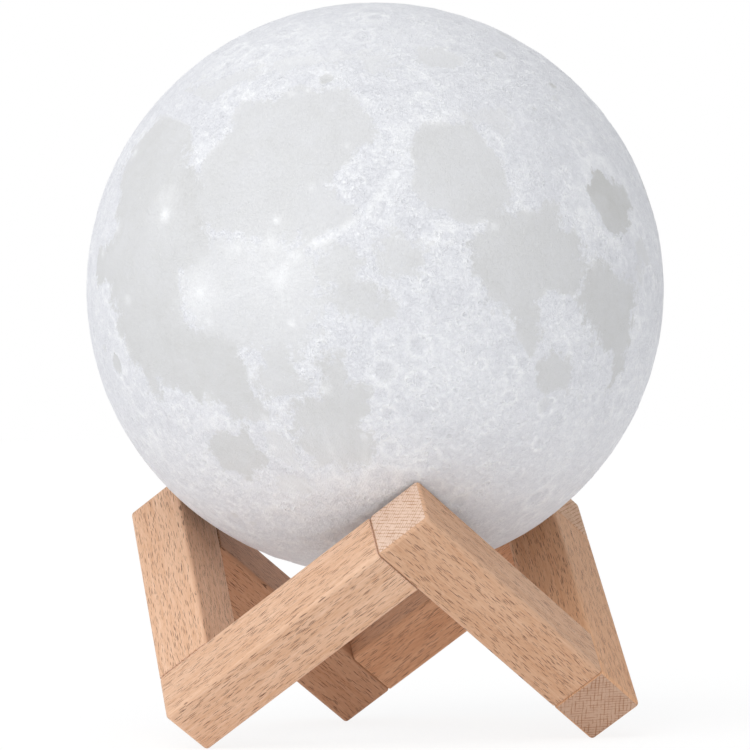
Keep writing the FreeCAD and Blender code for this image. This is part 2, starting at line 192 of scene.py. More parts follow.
class Finish(Nodes):
    """A node material while it is made. Lengths are millimetres, and colours are linear."""

    def __init__(self, name, roughness=0.5, metallic=0.0, sockets=None):
        self.material = bpy.data.materials.new(name)
        self.material.use_nodes = True
        super().__init__(self.material.node_tree)
        self.shader = self.tree.nodes["Principled BSDF"]
        self.shader.inputs["Roughness"].default_value = roughness
        self.shader.inputs["Metallic"].default_value = metallic
        for socket, value in (sockets or {}).items():
            self.shader.inputs[socket].default_value = value

    def vectors(self, operation, first, second=(0, 0, 0)):
        """A vector from one or two others, or a number for a length or dot product."""
        node = self.add("VectorMath", {0: first, 1: second}, operation=operation)
        return node.outputs["Value" if operation in ("LENGTH", "DOT_PRODUCT") else "Vector"]

    def vector(self, x=0.0, y=0.0, z=0.0):
        return self.add("CombineXYZ", {0: x, 1: y, 2: z}).outputs[0]

    def place(self):
        """The point's place on the lamp, in millimetres."""
        return self.vectors("MULTIPLY", self.add("TexCoord", {}).outputs["Object"], (1000, 1000, 1000))

    def attribute(self, name, output="Fac"):
        return self.add("Attribute", {}, attribute_name=name).outputs[output]

    def facing(self, axis):
        """How much the surface looks along an axis."""
        return self.part(self.add("NewGeometry", {}).outputs["Normal"], axis)

    def scaled(self, place, x, y, z):
        """A place measured in cells of these sizes."""
        return self.vectors("MULTIPLY", place, (1 / x, 1 / y, 1 / z))

    def turned(self, place, angle):
        """A place turned about the X axis."""
        return self.add("VectorRotate", {"Vector": place, "Angle": angle}, rotation_type="X_AXIS").outputs[0]

    def noise(self, place, size, detail=3.0, roughness=0.5, distortion=0.0):
        inputs = {"Vector": place, "Scale": 1 / size, "Detail": detail, "Roughness": roughness,
                  "Distortion": distortion}
        return self.add("TexNoise", inputs).outputs["Fac"]

    def cells(self, place, size, randomness=1.0):
        """Distance from the nearest of many scattered points."""
        inputs = {"Vector": place, "Scale": 1 / size, "Randomness": randomness}
        return self.add("TexVoronoi", inputs, feature="F1").outputs["Distance"]

    def waves(self, place, size, wave_type, direction, distortion=0.0, detail=2.0):
        """Bands or rings that repeat after this size."""
        choices = {"wave_type": wave_type, wave_type.lower() + "_direction": direction}
        scale = math.pi / (10 * size)
        inputs = {"Vector": place, "Scale": scale, "Distortion": distortion, "Detail": detail}
        return self.add("TexWave", inputs, **choices).outputs["Fac"]

    def ease(self, value, low, high, start=0.0, end=1.0):
        """A smooth step from start to end as the value goes from low to high."""
        inputs = {"Value": value, "From Min": low, "From Max": high, "To Min": start, "To Max": end}
        return self.add("MapRange", inputs, interpolation_type="SMOOTHSTEP").outputs["Result"]

    def dots(self, place, size, core, edge, strength=1.0):
        """Scattered dots that are solid out to the core and fade to nothing at the edge."""
        return self.ease(self.cells(place, size), core, edge, strength, 0.0)

    def ramp(self, value, stops):
        node = self.add("ValToRGB", {"Fac": value})
        elements = node.color_ramp.elements
        while len(elements) < len(stops):
            elements.new(1.0)
        for element, (position, tone) in zip(elements, stops):
            element.position = position
            element.color = tone if isinstance(tone, tuple) else (tone, tone, tone, 1.0)
        return node.outputs["Color"]

    def between(self, value, first, second, low=0.3, high=0.7):
        """A colour that goes from the first to the second as the value goes from low to high."""
        return self.ramp(value, [(low, first), (high, second)])

    def mix(self, share, first, second):
        return self.add("Mix", {0: share, 6: first, 7: second}, data_type="RGBA").outputs[2]

    def bump(self, height, depth, under=None):
        """Raises the surface by up to this depth where the height, from 0 to 1, is large."""
        node = self.add("Bump", {"Height": height, "Distance": depth * MM, "Strength": 1.0})
        if under is not None:
            self.feed(node.inputs["Normal"], under)
        return node.outputs["Normal"]

    def finish(self, base, normal, roughness=None):
        self.feed(self.shader.inputs["Base Color"], base)
        self.feed(self.shader.inputs["Normal"], normal)
        if roughness is not None:
            self.feed(self.shader.inputs["Roughness"], roughness)
        return self.material


def tinted(base, tint):
    return tuple(min(1.0, value * share) for value, share in zip(base[:3], tint)) + (1.0,)


def shade(base, amount):
    """A lighter or darker form of a colour."""
    return tinted(base, (amount,) * 3)


def moulded_finish(name, base, roughness=0.4, grain=0.35, depth=0.012, contrast=0.05, sockets=None):
    """Moulded plastic: a fine spark-eroded grain, faint flow marks and uneven gloss."""
    finish = Finish(name, roughness, 0.0, sockets)
    place = finish.place()
    flow = finish.noise(place, 9, 4, 0.6, 1.2)
    fine = finish.noise(place, grain, 2, 0.6)
    tone = finish.sum(0.0, (flow, 0.7), (fine, 0.3))
    base_colour = finish.between(tone, shade(base, 1 - contrast), shade(base, 1 + contrast))
    gloss = finish.ease(flow, 0.3, 0.7, roughness - 0.05, roughness + 0.08)
    return finish.finish(base_colour, finish.bump(fine, depth), gloss)


def metal_finish(name, base, roughness=0.28, scratch_size=0.25):
    """Plated or rolled metal with fine scratches and slight clouding."""
    finish = Finish(name, roughness, 1.0)
    place = finish.place()
    clouds = finish.noise(place, 4, 4, 0.6)
    scratches = finish.noise(finish.scaled(place, scratch_size * 12, scratch_size, scratch_size), 1, 4, 0.7)
    gloss = finish.ease(scratches, 0.3, 0.7, roughness - 0.06, roughness + 0.12)
    base_colour = finish.between(clouds, shade(base, 0.9), base)
    return finish.finish(base_colour, finish.bump(scratches, 0.004), gloss)


def dress(material, *nodes):
    """Gives CAD nodes one material in place of their own."""
    for name in nodes:
        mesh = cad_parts[name].data
        mesh.materials.clear()
        mesh.materials.append(material)


# The globe's features

# How the globe was set down on its stand: the turn from the Moon's own axes to the lamp's.
GLOBE_TURN = Matrix((
    (0.98609121, 0.12399109, -0.11068123),
    (-0.13727247, 0.98302026, -0.12176793),
    (0.09370375, 0.13526777, 0.98636821),
))

# Each sea is its darkness, the softness of its shore in degrees, and its shore as latitudes
# and longitudes in degrees, north and east positive.
SEAS = {
    "serenity": (0.6, 0.7, [
        (35.5, 10.2), (37.5, 12.5), (38, 15), (37, 17.2), (36.5, 20), (36.5, 23.5), (37, 27), (34, 27.2),
        (31.5, 27.2), (28.5, 29), (26, 30.2), (22.5, 29.5), (20, 29), (18.5, 27.5), (17, 24), (16.8, 21.5),
        (16.5, 19), (16.8, 16.5), (18.3, 13.5), (20.5, 10.5), (22, 8.5), (25, 7.8), (29, 8.5), (32, 9.5)]),
    "dreams": (0.32, 1.4, [
        (38.5, 24), (40, 28), (40, 33), (38, 37.5), (34.5, 35.5), (33, 33), (35, 31), (36, 27)]),
    "tranquillity": (0.67, 1.1, [
        (17.5, 22), (18, 27), (17, 32.5), (19.5, 37), (18, 39.5), (16.5, 38), (14.5, 39), (11.5, 40),
        (10, 42.5), (8, 41.5), (5.5, 44), (3, 42.5), (0.5, 40), (0.2, 37), (1, 35), (1.5, 32), (0, 31),
        (-2, 30), (-4.5, 30), (-8, 30), (-10, 29), (-9.5, 26), (-8, 23), (-6.5, 22), (-5, 24), (-3, 25.5),
        (-1, 25), (-0.5, 22.5), (0, 20), (2.5, 19.3), (6, 18.5), (9, 18), (12.5, 17.5), (15, 20)]),
    "crises": (0.84, 0.7, [
        (19.8, 50), (21, 53), (22, 55), (21.2, 57.5), (20.2, 60), (18.5, 63), (17.5, 65), (14, 64.5),
        (13.5, 62), (11, 61), (9.5, 59), (8.7, 56), (9.5, 53), (11.5, 51), (14, 50), (17, 49.5)]),
    "fertility": (0.74, 1.3, [
        (1, 41), (4.5, 45), (6.5, 47.5), (4, 50), (2.5, 52), (2, 55), (1, 59.5), (-2.5, 59.5), (-5.5, 57.5),
        (-9, 56.5), (-13, 56.5), (-17, 55), (-21, 52.5), (-21, 50), (-17, 51.5), (-13, 50.5), (-11.5, 48),
        (-10, 45), (-7.5, 43), (-4, 41), (-1.5, 40.2)]),
    "nectar": (0.68, 0.8, [
        (-10.5, 28.5), (-11, 31), (-10.5, 34), (-12.5, 38), (-16, 38.5), (-19.5, 37.5), (-19.5, 34.5),
        (-19, 31), (-16.5, 29), (-13, 28.7)]),
    "vapours": (0.54, 1.4, [
        (16, -0.5), (17, 3), (15, 6), (13, 8.5), (10.5, 8), (8.8, 6), (8.6, 2.5), (10.5, -0.5)]),
    "middle_bay": (0.6, 1.6, [
        (8, -10), (8, -5), (5.5, -2), (4, 1.5), (0.5, 1.5), (0.5, -3), (2, -7), (3, -11)]),
    "tides": (0.58, 1.5, [(15.5, -12.5), (15.5, -6), (14, -4.5), (11, -4), (8.5, -6), (8.5, -12.5)]),
    "cold_middle": (0.38, 1.3, [
        (60, -30), (61, -18), (61.5, -6), (60, 4), (59, 11), (55, 12), (51, 10), (52, 4), (56.5, -1),
        (57, -8), (56.5, -16), (55, -23), (55.5, -29)]),
    "cold_east": (0.45, 1, [
        (57.5, 22), (57.5, 28), (55.5, 34), (54, 38), (52, 35), (51, 31), (52.5, 25), (54, 21.5)]),
    "cold_west": (0.45, 1.3, [
        (52, -62), (55, -53), (57, -46), (57, -38), (55.5, -33), (53.5, -38), (51.5, -43), (48, -47),
        (48, -51)]),
    "rains": (0.58, 0.8, [
        (47, -37.5), (47.8, -33.5), (48, -30), (47, -28), (46.5, -26), (48.8, -25), (50, -22), (51.8, -18),
        (50, -16), (47.5, -12.5), (49, -10), (49.3, -6), (48.3, -2), (45.5, 0), (43, 1), (40.5, 2),
        (38, 2.5), (36, 1), (35, -2), (32.5, -5), (30, -7.5), (27.5, -10), (25, -8), (23.5, -5), (22, -3.5),
        (19.5, -5), (18, -8), (17, -11), (17.5, -15), (17.5, -20), (17, -25), (19.5, -28), (19, -33),
        (21, -36.5), (22.5, -40.5), (27, -40.5), (31, -40.5), (34, -40), (37, -38.5), (39.5, -37),
        (40.5, -35), (42, -36.5), (44.5, -37.5)]),
    "dew_bay": (0.52, 2.4, [
        (51, -68), (54.5, -60), (55, -52), (50, -48), (46, -51.5), (41, -56), (41, -70), (46, -73)]),
    "storms": (0.7, 1.3, [
        (45.5, -64), (46.5, -57), (45.5, -51.5), (42, -50), (38.5, -47.5), (35, -46), (32, -43), (30, -39.5),
        (24, -38), (19, -36), (15, -34), (13, -38), (12, -43), (7.5, -42.5), (3, -41), (0, -36), (-1, -30),
        (-4.5, -29.5), (-10, -29), (-13.5, -26.5), (-17, -25.5), (-18, -28), (-17.5, -31), (-17, -33.5),
        (-15, -35.5), (-12.5, -37), (-11, -40), (-12.5, -40.5), (-11.5, -44), (-10, -46), (-9.5, -50.5),
        (-12, -51.5), (-14.5, -52.7), (-12, -54.5), (-9.5, -55.5), (-6.5, -56.5), (-5.5, -59.5), (-3, -60),
        (1, -63), (3.5, -61.5), (6, -65), (9.5, -66.5), (9.5, -73.5), (14, -75.5), (17, -70), (20.5, -66.5),
        (25, -68.5), (28, -71), (31, -76.5), (38, -74.5), (42.5, -71)]),
    "islands": (0.5, 2, [
        (18.5, -38), (17.5, -30), (16.5, -22), (16, -14), (10, -13), (4, -13), (-2, -14), (-4, -20),
        (-3, -29), (0, -36), (4, -41), (11, -42)]),
    "known": (0.6, 1.2, [
        (-2, -24), (-1.5, -21), (-3.5, -19.5), (-7, -20.5), (-9, -18.5), (-10, -15.5), (-12.5, -17.5),
        (-13.5, -21.5), (-13, -24.5), (-10, -27), (-6.5, -26), (-4.5, -25)]),
    "clouds": (0.72, 1.2, [
        (-4, -11.5), (-7, -13.5), (-9.5, -14), (-11.5, -12.5), (-13.5, -14), (-14, -16), (-13.5, -20),
        (-16.5, -21.5), (-20, -21), (-22, -22.5), (-25, -21), (-28.5, -19.5), (-28.5, -15.5), (-30.5, -12.5),
        (-29, -11), (-28.5, -8), (-26.5, -5.5), (-22.5, -6), (-20, -8), (-17.5, -6.5), (-15, -5),
        (-12.5, -5), (-11.5, -8), (-8.5, -8.5), (-4.5, -10)]),
    "clouds_west": (0.42, 0.9, [
        (-20.5, -28.5), (-20.5, -25), (-24, -23), (-28, -22), (-29, -24.5), (-26, -26.5), (-23, -28.5)]),
    "moisture": (0.8, 0.7, [
        (-20, -40.5), (-21, -43), (-24.5, -43.5), (-28, -42), (-29.5, -39), (-31, -37), (-30, -34),
        (-28, -31.5), (-27, -29), (-24, -30.5), (-21, -31.5), (-18, -31), (-20, -35)]),
    "marsh": (0.45, 0.8, [
        (-29, -28.5), (-32.5, -30.5), (-34.5, -29), (-33, -26), (-36, -24), (-33, -20), (-30.5, -22),
        (-30, -26)]),
    "waves": (0.45, 1, [(6, 62), (6.5, 66), (3, 67.5), (1, 63), (-1, 62.5), (0.5, 60)]),
    "border": (0.45, 1.2, [(18, 84), (16, 89), (11, 90), (9, 84), (13, 80)]),
    "eastern_rim": (0.45, 1.4, [(3, 84), (2, 91), (-4, 91.5), (-5.5, 86), (-2, 82.5)]),
    "south_east": (0.32, 2.6, [(-35, 88), (-40, 97), (-48, 100), (-52, 92), (-46, 84)]),
    "north_east_rim": (0.35, 1.3, [(59, 78), (58, 85), (54.5, 84), (54.5, 77)]),
    "far_north": (0.6, 1.2, [(31, 144), (30, 151), (25.5, 152.5), (22, 148), (24, 142), (28, 141)]),
    "ingenuity": (0.5, 1.2, [(-31, 162), (-32, 167), (-36, 168), (-38, 163), (-35, 159)]),
    "western_rim": (0.42, 1, [(-15, -97), (-17, -91), (-22, -91.5), (-24, -97), (-19, -100)]),
}

# Dark-floored craters and dark patches: latitude, longitude, radius in degrees, darkness.
DARK_FLOORS = [
    (52.2, -10.2, 1.35, 0.75), (-6.8, -66.4, 2.2, 0.75), (-4, -72, 1, 0.5), (52.5, 53.8, 1.7, 0.7),
    (42, 62.5, 0.9, 0.9), (37.8, 46.7, 0.6, 0.7), (52, 48.2, 0.7, 0.4), (46.5, 37.5, 0.6, 0.4),
    (32.7, 53, 0.8, 0.4), (39, 58, 0.8, 0.4), (-10.5, 43.5, 0.6, 0.5), (-21, 42, 0.6, 0.4),
    (-20.8, 31.8, 1.6, 0.3), (12, -3.7, 1, 0.55), (6.2, -7.7, 1.7, 0.65), (11, 6, 1.4, 0.6),
    (5.8, -15, 0.9, 0.5), (2, 0.2, 1.2, 0.45), (37, 33.5, 1.5, 0.35), (-18.5, -64.8, 0.6, 0.5),
    (-42, -50, 1.2, 0.5), (-44.5, -45.5, 0.8, 0.45), (-20.4, 129.1, 2.2, 1), (5.3, 140.9, 1.4, 0.3),
    (-56.7, 163.6, 2.6, 0.4), (-57.9, 136.8, 2.6, 0.35), (-36.1, -151.8, 3.4, 0.35), (-35.7, 118, 1.6, 0.35),
    (13.9, 90.5, 1.2, 0.4), (-9.4, -1.6, 1.9, 0.14), (-41, 13.8, 1.5, 0.12), (60, -100, 2, 0.3),
]

# Bright craters with rays: latitude, longitude, reach of the rays in degrees, strength, number of
# spokes.
RAY_CRATERS = [
    (10.2, -20, 17, 0.34, 15), (8, -37.8, 8, 0.3, 12), (23.3, -48.6, 9, 0.22, 9), (-43.3, -11.4, 34, 0.5, 8),
    (15.2, 45.5, 5, 0.6, 4), (36.1, 102.9, 18, 0.7, 8), (-22.4, -129, 14, 0.6, 7), (5, 160, 12, 0.5, 7),
]

# Bright spots: latitude, longitude, radius in degrees, strength.
BRIGHT_SPOTS = [
    (10.3, -20, 1.9, 0.4), (11.5, -21.5, 9, 0.05), (8, -37.7, 0.9, 0.38), (7.5, -37.8, 5, 0.2),
    (23.3, -48.7, 1.2, 0.72), (26.5, -49.5, 3, 0.22), (64, -20, 10, 0.26), (66, 20, 9, 0.2),
    (-7.5, 14.5, 6, 0.14), (58, -62, 5, 0.25), (15.2, 45.5, 0.7, 1), (14.8, 9, 0.8, 0.7),
    (16.2, 14.7, 0.7, 0.6), (15.5, 23.3, 0.8, 0.55), (3, 17.5, 0.6, 0.8), (32, 29.5, 1.6, 0.3),
    (1.3, 32, 0.6, 0.4), (-11, 29.2, 0.6, 0.6), (-9, 39, 0.7, 0.5), (44.7, 16, 1.2, 0.3),
    (50.5, 17, 1.5, 0.3), (5, 45, 1, 0.35), (21.3, -20.7, 0.6, 0.8), (27.3, -13, 0.7, 0.35),
    (44.3, -8.5, 0.5, 0.3), (35.2, -5, 0.6, 0.3), (30.5, -4, 1.7, 0.25), (35.7, -72.5, 1, 0.6),
    (39.5, -74.5, 1.4, 0.5), (6.5, -58.5, 0.9, 0.35), (20.2, -66.2, 0.8, 0.6), (15, -72, 0.8, 0.5),
    (-3.7, -60.8, 0.7, 0.6), (-1.7, -62.2, 0.7, 0.5), (58.2, -47, 0.9, 0.5), (50.2, -43, 1, 0.5),
    (49.5, -15.7, 0.5, 0.5), (49, -20.5, 0.7, 0.4), (1.3, -18.5, 0.6, 0.6), (2.5, -36, 0.7, 0.5),
    (-29.2, -49, 1.4, 0.5), (-32.5, -45.7, 0.9, 0.6), (-19, -41.7, 0.7, 0.5), (-18, -37.5, 1.6, 0.3),
    (-23.5, -27, 0.6, 0.5), (-22.5, -7.5, 0.5, 0.6), (-14.7, -23.4, 0.8, 0.6), (-12, -13.5, 1, 0.5),
    (-24, -62, 2.4, 0.35), (-7.7, -63, 0.9, 0.5), (-32.5, -18, 1.5, 0.35), (-35, -30, 4, 0.18),
    (26.5, 53.5, 0.7, 0.5), (32.5, 56, 0.9, 0.5), (-10, 58.5, 2, 0.3), (36, 102.9, 2.4, 0.8),
    (-22.4, -129, 2, 0.6), (5, 160, 1.8, 0.5), (-41.8, 126, 2, 0.4), (52, -128, 2.4, 0.4),
    (34, 147, 1.2, 0.4), (-63, -150, 2.4, 0.4), (70, 160, 2, 0.4), (18.5, -149.3, 2, 0.4),
    (-9.2, -162, 2.2, 0.4),
]

# Craters: latitude, longitude, radius in degrees.
CRATERS = [
    (10.2, -20, 1.55), (8.1, -37.8, 0.8), (23.4, -48.4, 0.85), (-43.3, -11.4, 1.45), (52.2, -10.2, 1.6),
    (30.5, -4, 1.6), (34.6, 1, 0.95), (30.9, 1.5, 0.85), (14.7, -11.5, 1), (27.3, -13, 0.75),
    (26.1, -21, 0.75), (23.7, -29.2, 0.75), (14.8, 9, 0.8), (16.2, 14.9, 0.75), (15.5, 23.4, 0.85),
    (32, 29.5, 1.7), (50.5, 17, 1.6), (44.7, 16, 1.3), (46.7, 44.4, 1.45), (46.5, 37.7, 1.15),
    (52.5, 53.8, 2), (27, 54, 2.1), (-9.5, 58.5, 2.15), (-25.1, 58, 2.9), (-11.6, 26, 1.65),
    (-13.3, 23.6, 1.6), (-18, 23.2, 1.6), (-21.5, 32.5, 2), (-29.7, 32.2, 1.45), (-9.3, -1.9, 2.5),
    (-13.7, -3.2, 1.85), (-18.2, -1.9, 1.6), (-11.7, 4.3, 2.1), (-5.1, 5.2, 2.3), (-25.5, -2.3, 1.9),
    (-33.1, 1, 2.2), (-33.1, -4.8, 3.7), (-50.5, -6.3, 2.6), (-58.8, -14.1, 3.8), (-49.6, -21.8, 2.6),
    (-44.3, -52.3, 3.5), (-18, -37.6, 1.8), (-6.8, -66.4, 2.5), (1, -66, 1.9), (-20.7, -22.2, 1),
    (-29.9, -13.5, 1.7), (-41.1, 6, 2.1), (-42, 14, 1.9), (-28, 3.3, 1.2), (-30.6, 5.2, 1.3),
    (-45.4, 40.3, 3.3), (15.2, 45.5, 0.8), (21.3, 45, 1.05), (5, 45, 1), (35.7, 79, 2.8), (-27, 80.9, 3.3),
    (62, -42, 2.7), (63.5, -63, 2.4), (65.4, 4.5, 2.6), (73.6, 18.8, 2.1), (-66.5, -69.1, 4.7),
    (-4, -157.4, 7), (2.6, -129.2, 9.2), (-36.1, -151.8, 8.6), (5.7, 140.9, 5.4), (-20.2, 149.2, 4.3),
    (-20.4, 129.1, 3), (27.3, 147.9, 7.3), (18.5, -149.3, 3), (58.7, -146.1, 5.4), (50.8, 163.9, 3.9),
    (45.3, 151.4, 3.7), (41.6, -118.1, 3.5), (-56.7, 163.6, 5.7), (-57.9, 136.8, 5.2), (-75, 132.4, 5.2),
    (-19.3, 122.6, 4), (-30.7, -161, 3), (24.6, -174, 3.2), (-19, -95, 8), (40, 112, 3), (9, 118, 3.2),
    (-8, 109, 3), (-44, 176, 3.4), (64, 98, 3), (-51, 103, 3), (-36, 138, 3), (2, 173, 3.2), (12, 157, 2.8),
    (36, -100, 2.6), (17, -97, 2.8), (-8, -112, 3), (-49, -113, 3.2), (-24, -172, 3),
]

# Bright mountain shores: latitudes and longitudes along the ridge, half width in degrees, strength.
RIDGES = [
    ([(16, -12.5), (17.6, -9.5), (18.2, -6.5), (19.5, -4), (21, -1.5), (23, 0.5), (26, 2.5), (29, 5)], 0.9,
      0.65),
    ([(22, 1.5), (24, 4), (27.5, 6.5)], 2, 0.28),
    ([(32, 7.5), (35.5, 8.5), (38.5, 10.5), (39, 15), (38.5, 19)], 1.2, 0.4),
    ([(47, -1), (45, 1.5), (43, 3)], 0.9, 0.45),
    ([(50.5, -3), (50, -8), (53.5, -6), (54.5, -12), (51.5, -15)], 1, 0.35),
    ([(48.8, -39.5), (49, -33), (49, -28), (50.5, -23.5)], 1, 0.45),
    ([(45, -39.5), (42, -39), (38, -41), (34.5, -42)], 1.8, 0.38),
    ([(45, -44), (41, -44.5), (37, -43)], 2.4, 0.25),
    ([(17.5, 12), (16.8, 15.5), (15.6, 18.5), (16.2, 21.5)], 0.9, 0.55),
    ([(21, 30), (23, 31), (26, 32), (21, 30.5), (18, 31.5)], 1.1, 0.38),
    ([(23.5, 51), (24.5, 56), (22.5, 61), (19.5, 65.5), (14, 66.5), (9, 62)], 1.2, 0.3),
    ([(20, 47.5), (15, 48), (10, 49.5), (7, 54)], 1.3, 0.3),
    ([(15.5, -31), (15, -26), (16.5, -22), (14, -17)], 1.8, 0.28),
    ([(-2, 33), (-5, 33), (-8, 36), (-3, 37)], 2.2, 0.06),
    ([(-6, -27), (-8.5, -28)], 0.8, 0.45),
    ([(-12.5, -38.5), (-16, -39), (-19.5, -44.5), (-26, -46), (-31, -43)], 1.6, 0.3),
    ([(-17, -27), (-18.5, -26), (-16, -23)], 0.8, 0.35),
    ([(-31, -17), (-33, -10), (-31, -5)], 2.4, 0.25),
]

INSIDE_RINGS = 26  # rings of faces up the inside of the globe
SCATTER_SEED = 7
SCATTERED_CRATERS = 1300
SHORE_REACH = 4.0  # shore widths in or out of a sea that still count
SHORE_MARGIN = 9.0  # degrees beyond a sea's outermost mark out to which points are measured
FLOOR_SHORE = 0.35  # shore width of a dark crater floor, in degrees
CRATER_REACH = 2.2  # how far out a crater raises the ground, in its own radii
CRATER_DEPTH = 0.22  # depth of the large craters, in millimetres
SEA_COVER = 0.8  # how much of a crater's relief a sea takes away
RADIAN = 57.3  # degrees in a radian

# How far the rough skin and the long swells go up and down, how far the seas lie lower, how far the
# bright mountains stand up, and how deep the relief goes at most, in millimetres.
ROUGHNESS, SWELL, SEA_DROP, MOUNTAIN_RISE, LOWEST = 0.085, 0.05, 0.13, 0.04, -0.5
SEA_CALM = 0.85  # how much of the roughness is missing in a sea
SHORE_DRIFT = 0.022  # how far the shores of the seas wander, in radians
MOUTH_FADE = (0.2 * MM, 2.5 * MM)  # heights above the mouth between which the relief starts


def moon_axes(latitude, longitude):
    """The directions east, north and straight up at a place, on the Moon's own axes."""
    north, east = math.radians(latitude), math.radians(longitude)
    return (
        (math.cos(east), math.sin(east), 0.0),
        (-math.sin(north) * math.sin(east), math.sin(north) * math.cos(east), math.cos(north)),
        (math.cos(north) * math.sin(east), -math.cos(north) * math.cos(east), math.sin(north)),
    )


def moon_direction(latitude, longitude):
    """The direction from the Moon's middle to a place on it."""
    return numpy.array(moon_axes(latitude, longitude)[2])


def angle_from(directions, middle):
    """Degrees between each direction and a middle one."""
    return numpy.degrees(numpy.arccos(numpy.clip(directions @ middle, -1.0, 1.0)))


def flattened(directions, latitude, longitude):
    """Degrees east and north of a place, true to the distance from it."""
    eastward, northward, upward = (numpy.array(axis) for axis in moon_axes(latitude, longitude))
    x, y = directions @ eastward, directions @ northward
    scale = angle_from(directions, upward) / numpy.maximum(numpy.hypot(x, y), 1e-9)
    return x * scale, y * scale


def smooth_step(value, low, high):
    share = numpy.clip((value - low) / (high - low), 0.0, 1.0)
    return share * share * (3 - 2 * share)


def hump(value, width):
    """1 where the value is 0, and less the farther it is from that."""
    return numpy.exp(-((value / width) ** 2))


def run_distance(x, y, start, end):
    """Distance of points from a straight run."""
    run_x, run_y = end[0] - start[0], end[1] - start[1]
    share = ((x - start[0]) * run_x + (y - start[1]) * run_y) / (run_x * run_x + run_y * run_y)
    share = numpy.clip(share, 0.0, 1.0)
    return numpy.hypot(x - start[0] - share * run_x, y - start[1] - share * run_y)


def nearest_run(x, y, marks):
    """Distance of points from the nearest of the runs that join these marks in turn."""
    nearest = numpy.full(x.shape, numpy.inf)
    for start, end in zip(marks, marks[1:]):
        nearest = numpy.minimum(nearest, run_distance(x, y, start, end))
    return nearest


def sea_depth(x, y, shore):
    """Degrees inside a shore, negative outside it."""
    closed = shore + shore[:1]
    nearest = nearest_run(x, y, closed)
    inside = numpy.zeros(x.shape, bool)
    for start, end in zip(closed, closed[1:]):
        crosses = (start[1] > y) != (end[1] > y)
        rise = end[1] - start[1] if end[1] != start[1] else 1e-9
        inside ^= crosses & (x < start[0] + (end[0] - start[0]) * (y - start[1]) / rise)
    return numpy.where(inside, nearest, -nearest)


def uneven(directions, size, seed, octaves=4):
    """Smooth noise from -1 to 1 on the globe, with features of this size in degrees."""
    scale = RADIAN / size
    shift = Vector((seed * 3.7, seed * 1.9, seed * 5.3))
    values = [noise.fractal(Vector(d) * scale + shift, 1.0, 2.0, octaves) for d in directions]
    return numpy.clip(numpy.array(values), -1.0, 1.0)


def spread_places(places):
    """Places as directions, and the direction, latitude and longitude of their middle."""
    marks = numpy.array([moon_direction(*place) for place in places])
    middle = marks.mean(0)
    middle /= numpy.linalg.norm(middle)
    return marks, middle, math.degrees(math.asin(middle[2])), math.degrees(math.atan2(middle[0], -middle[1]))


def sea_fields(directions, drifted):
    """How far inside a sea each point lies, in widths of its shore, and how dark that sea is.
    The drifted directions make the shores wander, but the dark crater floors stay round."""
    inside = numpy.full(len(directions), -SHORE_REACH)
    weights = numpy.full(len(directions), 1e-9)
    darkness = weights * 0.4  # which leaves 0.4 where no sea is near
    for tone, softness, shore in SEAS.values():
        marks, middle, latitude, longitude = spread_places(shore)
        reach = math.radians(angle_from(marks, middle).max() + SHORE_MARGIN)
        near = numpy.flatnonzero(drifted @ middle > math.cos(reach))
        x, y = flattened(drifted[near], latitude, longitude)
        depth = sea_depth(x, y, list(zip(*flattened(marks, latitude, longitude))))
        depth = numpy.clip(depth / softness, -SHORE_REACH, SHORE_REACH)
        inside[near] = numpy.maximum(inside[near], depth)
        # Where seas overlap, the one that the point lies deepest in sets the tone.
        weight = numpy.exp(2.0 * depth)
        weights[near] += weight
        darkness[near] += weight * tone
    darkness /= weights
    for latitude, longitude, radius, tone in DARK_FLOORS:
        depth = (radius - angle_from(directions, moon_direction(latitude, longitude))) / FLOOR_SHORE
        share = smooth_step(depth, -2.5, 0.0)
        darkness = darkness * (1 - share) + share * numpy.maximum(tone, darkness * (inside > 0))
        inside = numpy.maximum(inside, numpy.clip(depth, -SHORE_REACH, 2.0))
    return inside, darkness


def glow_tone(directions, ripple):
    """How bright the bright spots and mountain shores are at each point, from 0 to 1."""
    tone = numpy.zeros(len(directions))
    for latitude, longitude, radius, strength in BRIGHT_SPOTS:
        angle = angle_from(directions, moon_direction(latitude, longitude))
        tone += strength * hump(angle, radius * (1 + 0.3 * ripple)) * (1 - tone)
    for places, half_width, strength in RIDGES:
        marks, middle, latitude, longitude = spread_places(places)
        x, y = flattened(directions, latitude, longitude)
        ridge = list(zip(*flattened(marks, latitude, longitude)))
        rise = hump(nearest_run(x, y, ridge), half_width) * (0.75 + 0.9 * ripple)
        tone += strength * numpy.clip(rise, 0.0, 1.0) * (1 - tone) * (directions @ middle > 0)
    return numpy.clip(tone, 0.0, 1.0)


def scattered_craters():
    """Craters that look scattered, from 1 to 4.8 degrees in radius, most of them small.
    Each row ends with how fresh its crater is, up to 1."""
    chance = numpy.random.default_rng(SCATTER_SEED)
    rows = []
    for _ in range(SCATTERED_CRATERS):
        north = math.degrees(math.asin(chance.uniform(-1, 1)))
        east = chance.uniform(-180, 180)
        radius = chance.uniform(0.03, 1.0) ** -0.45
        rows.append((north, east, radius, chance.uniform(0.15, 1.0) ** 1.3))
    return rows


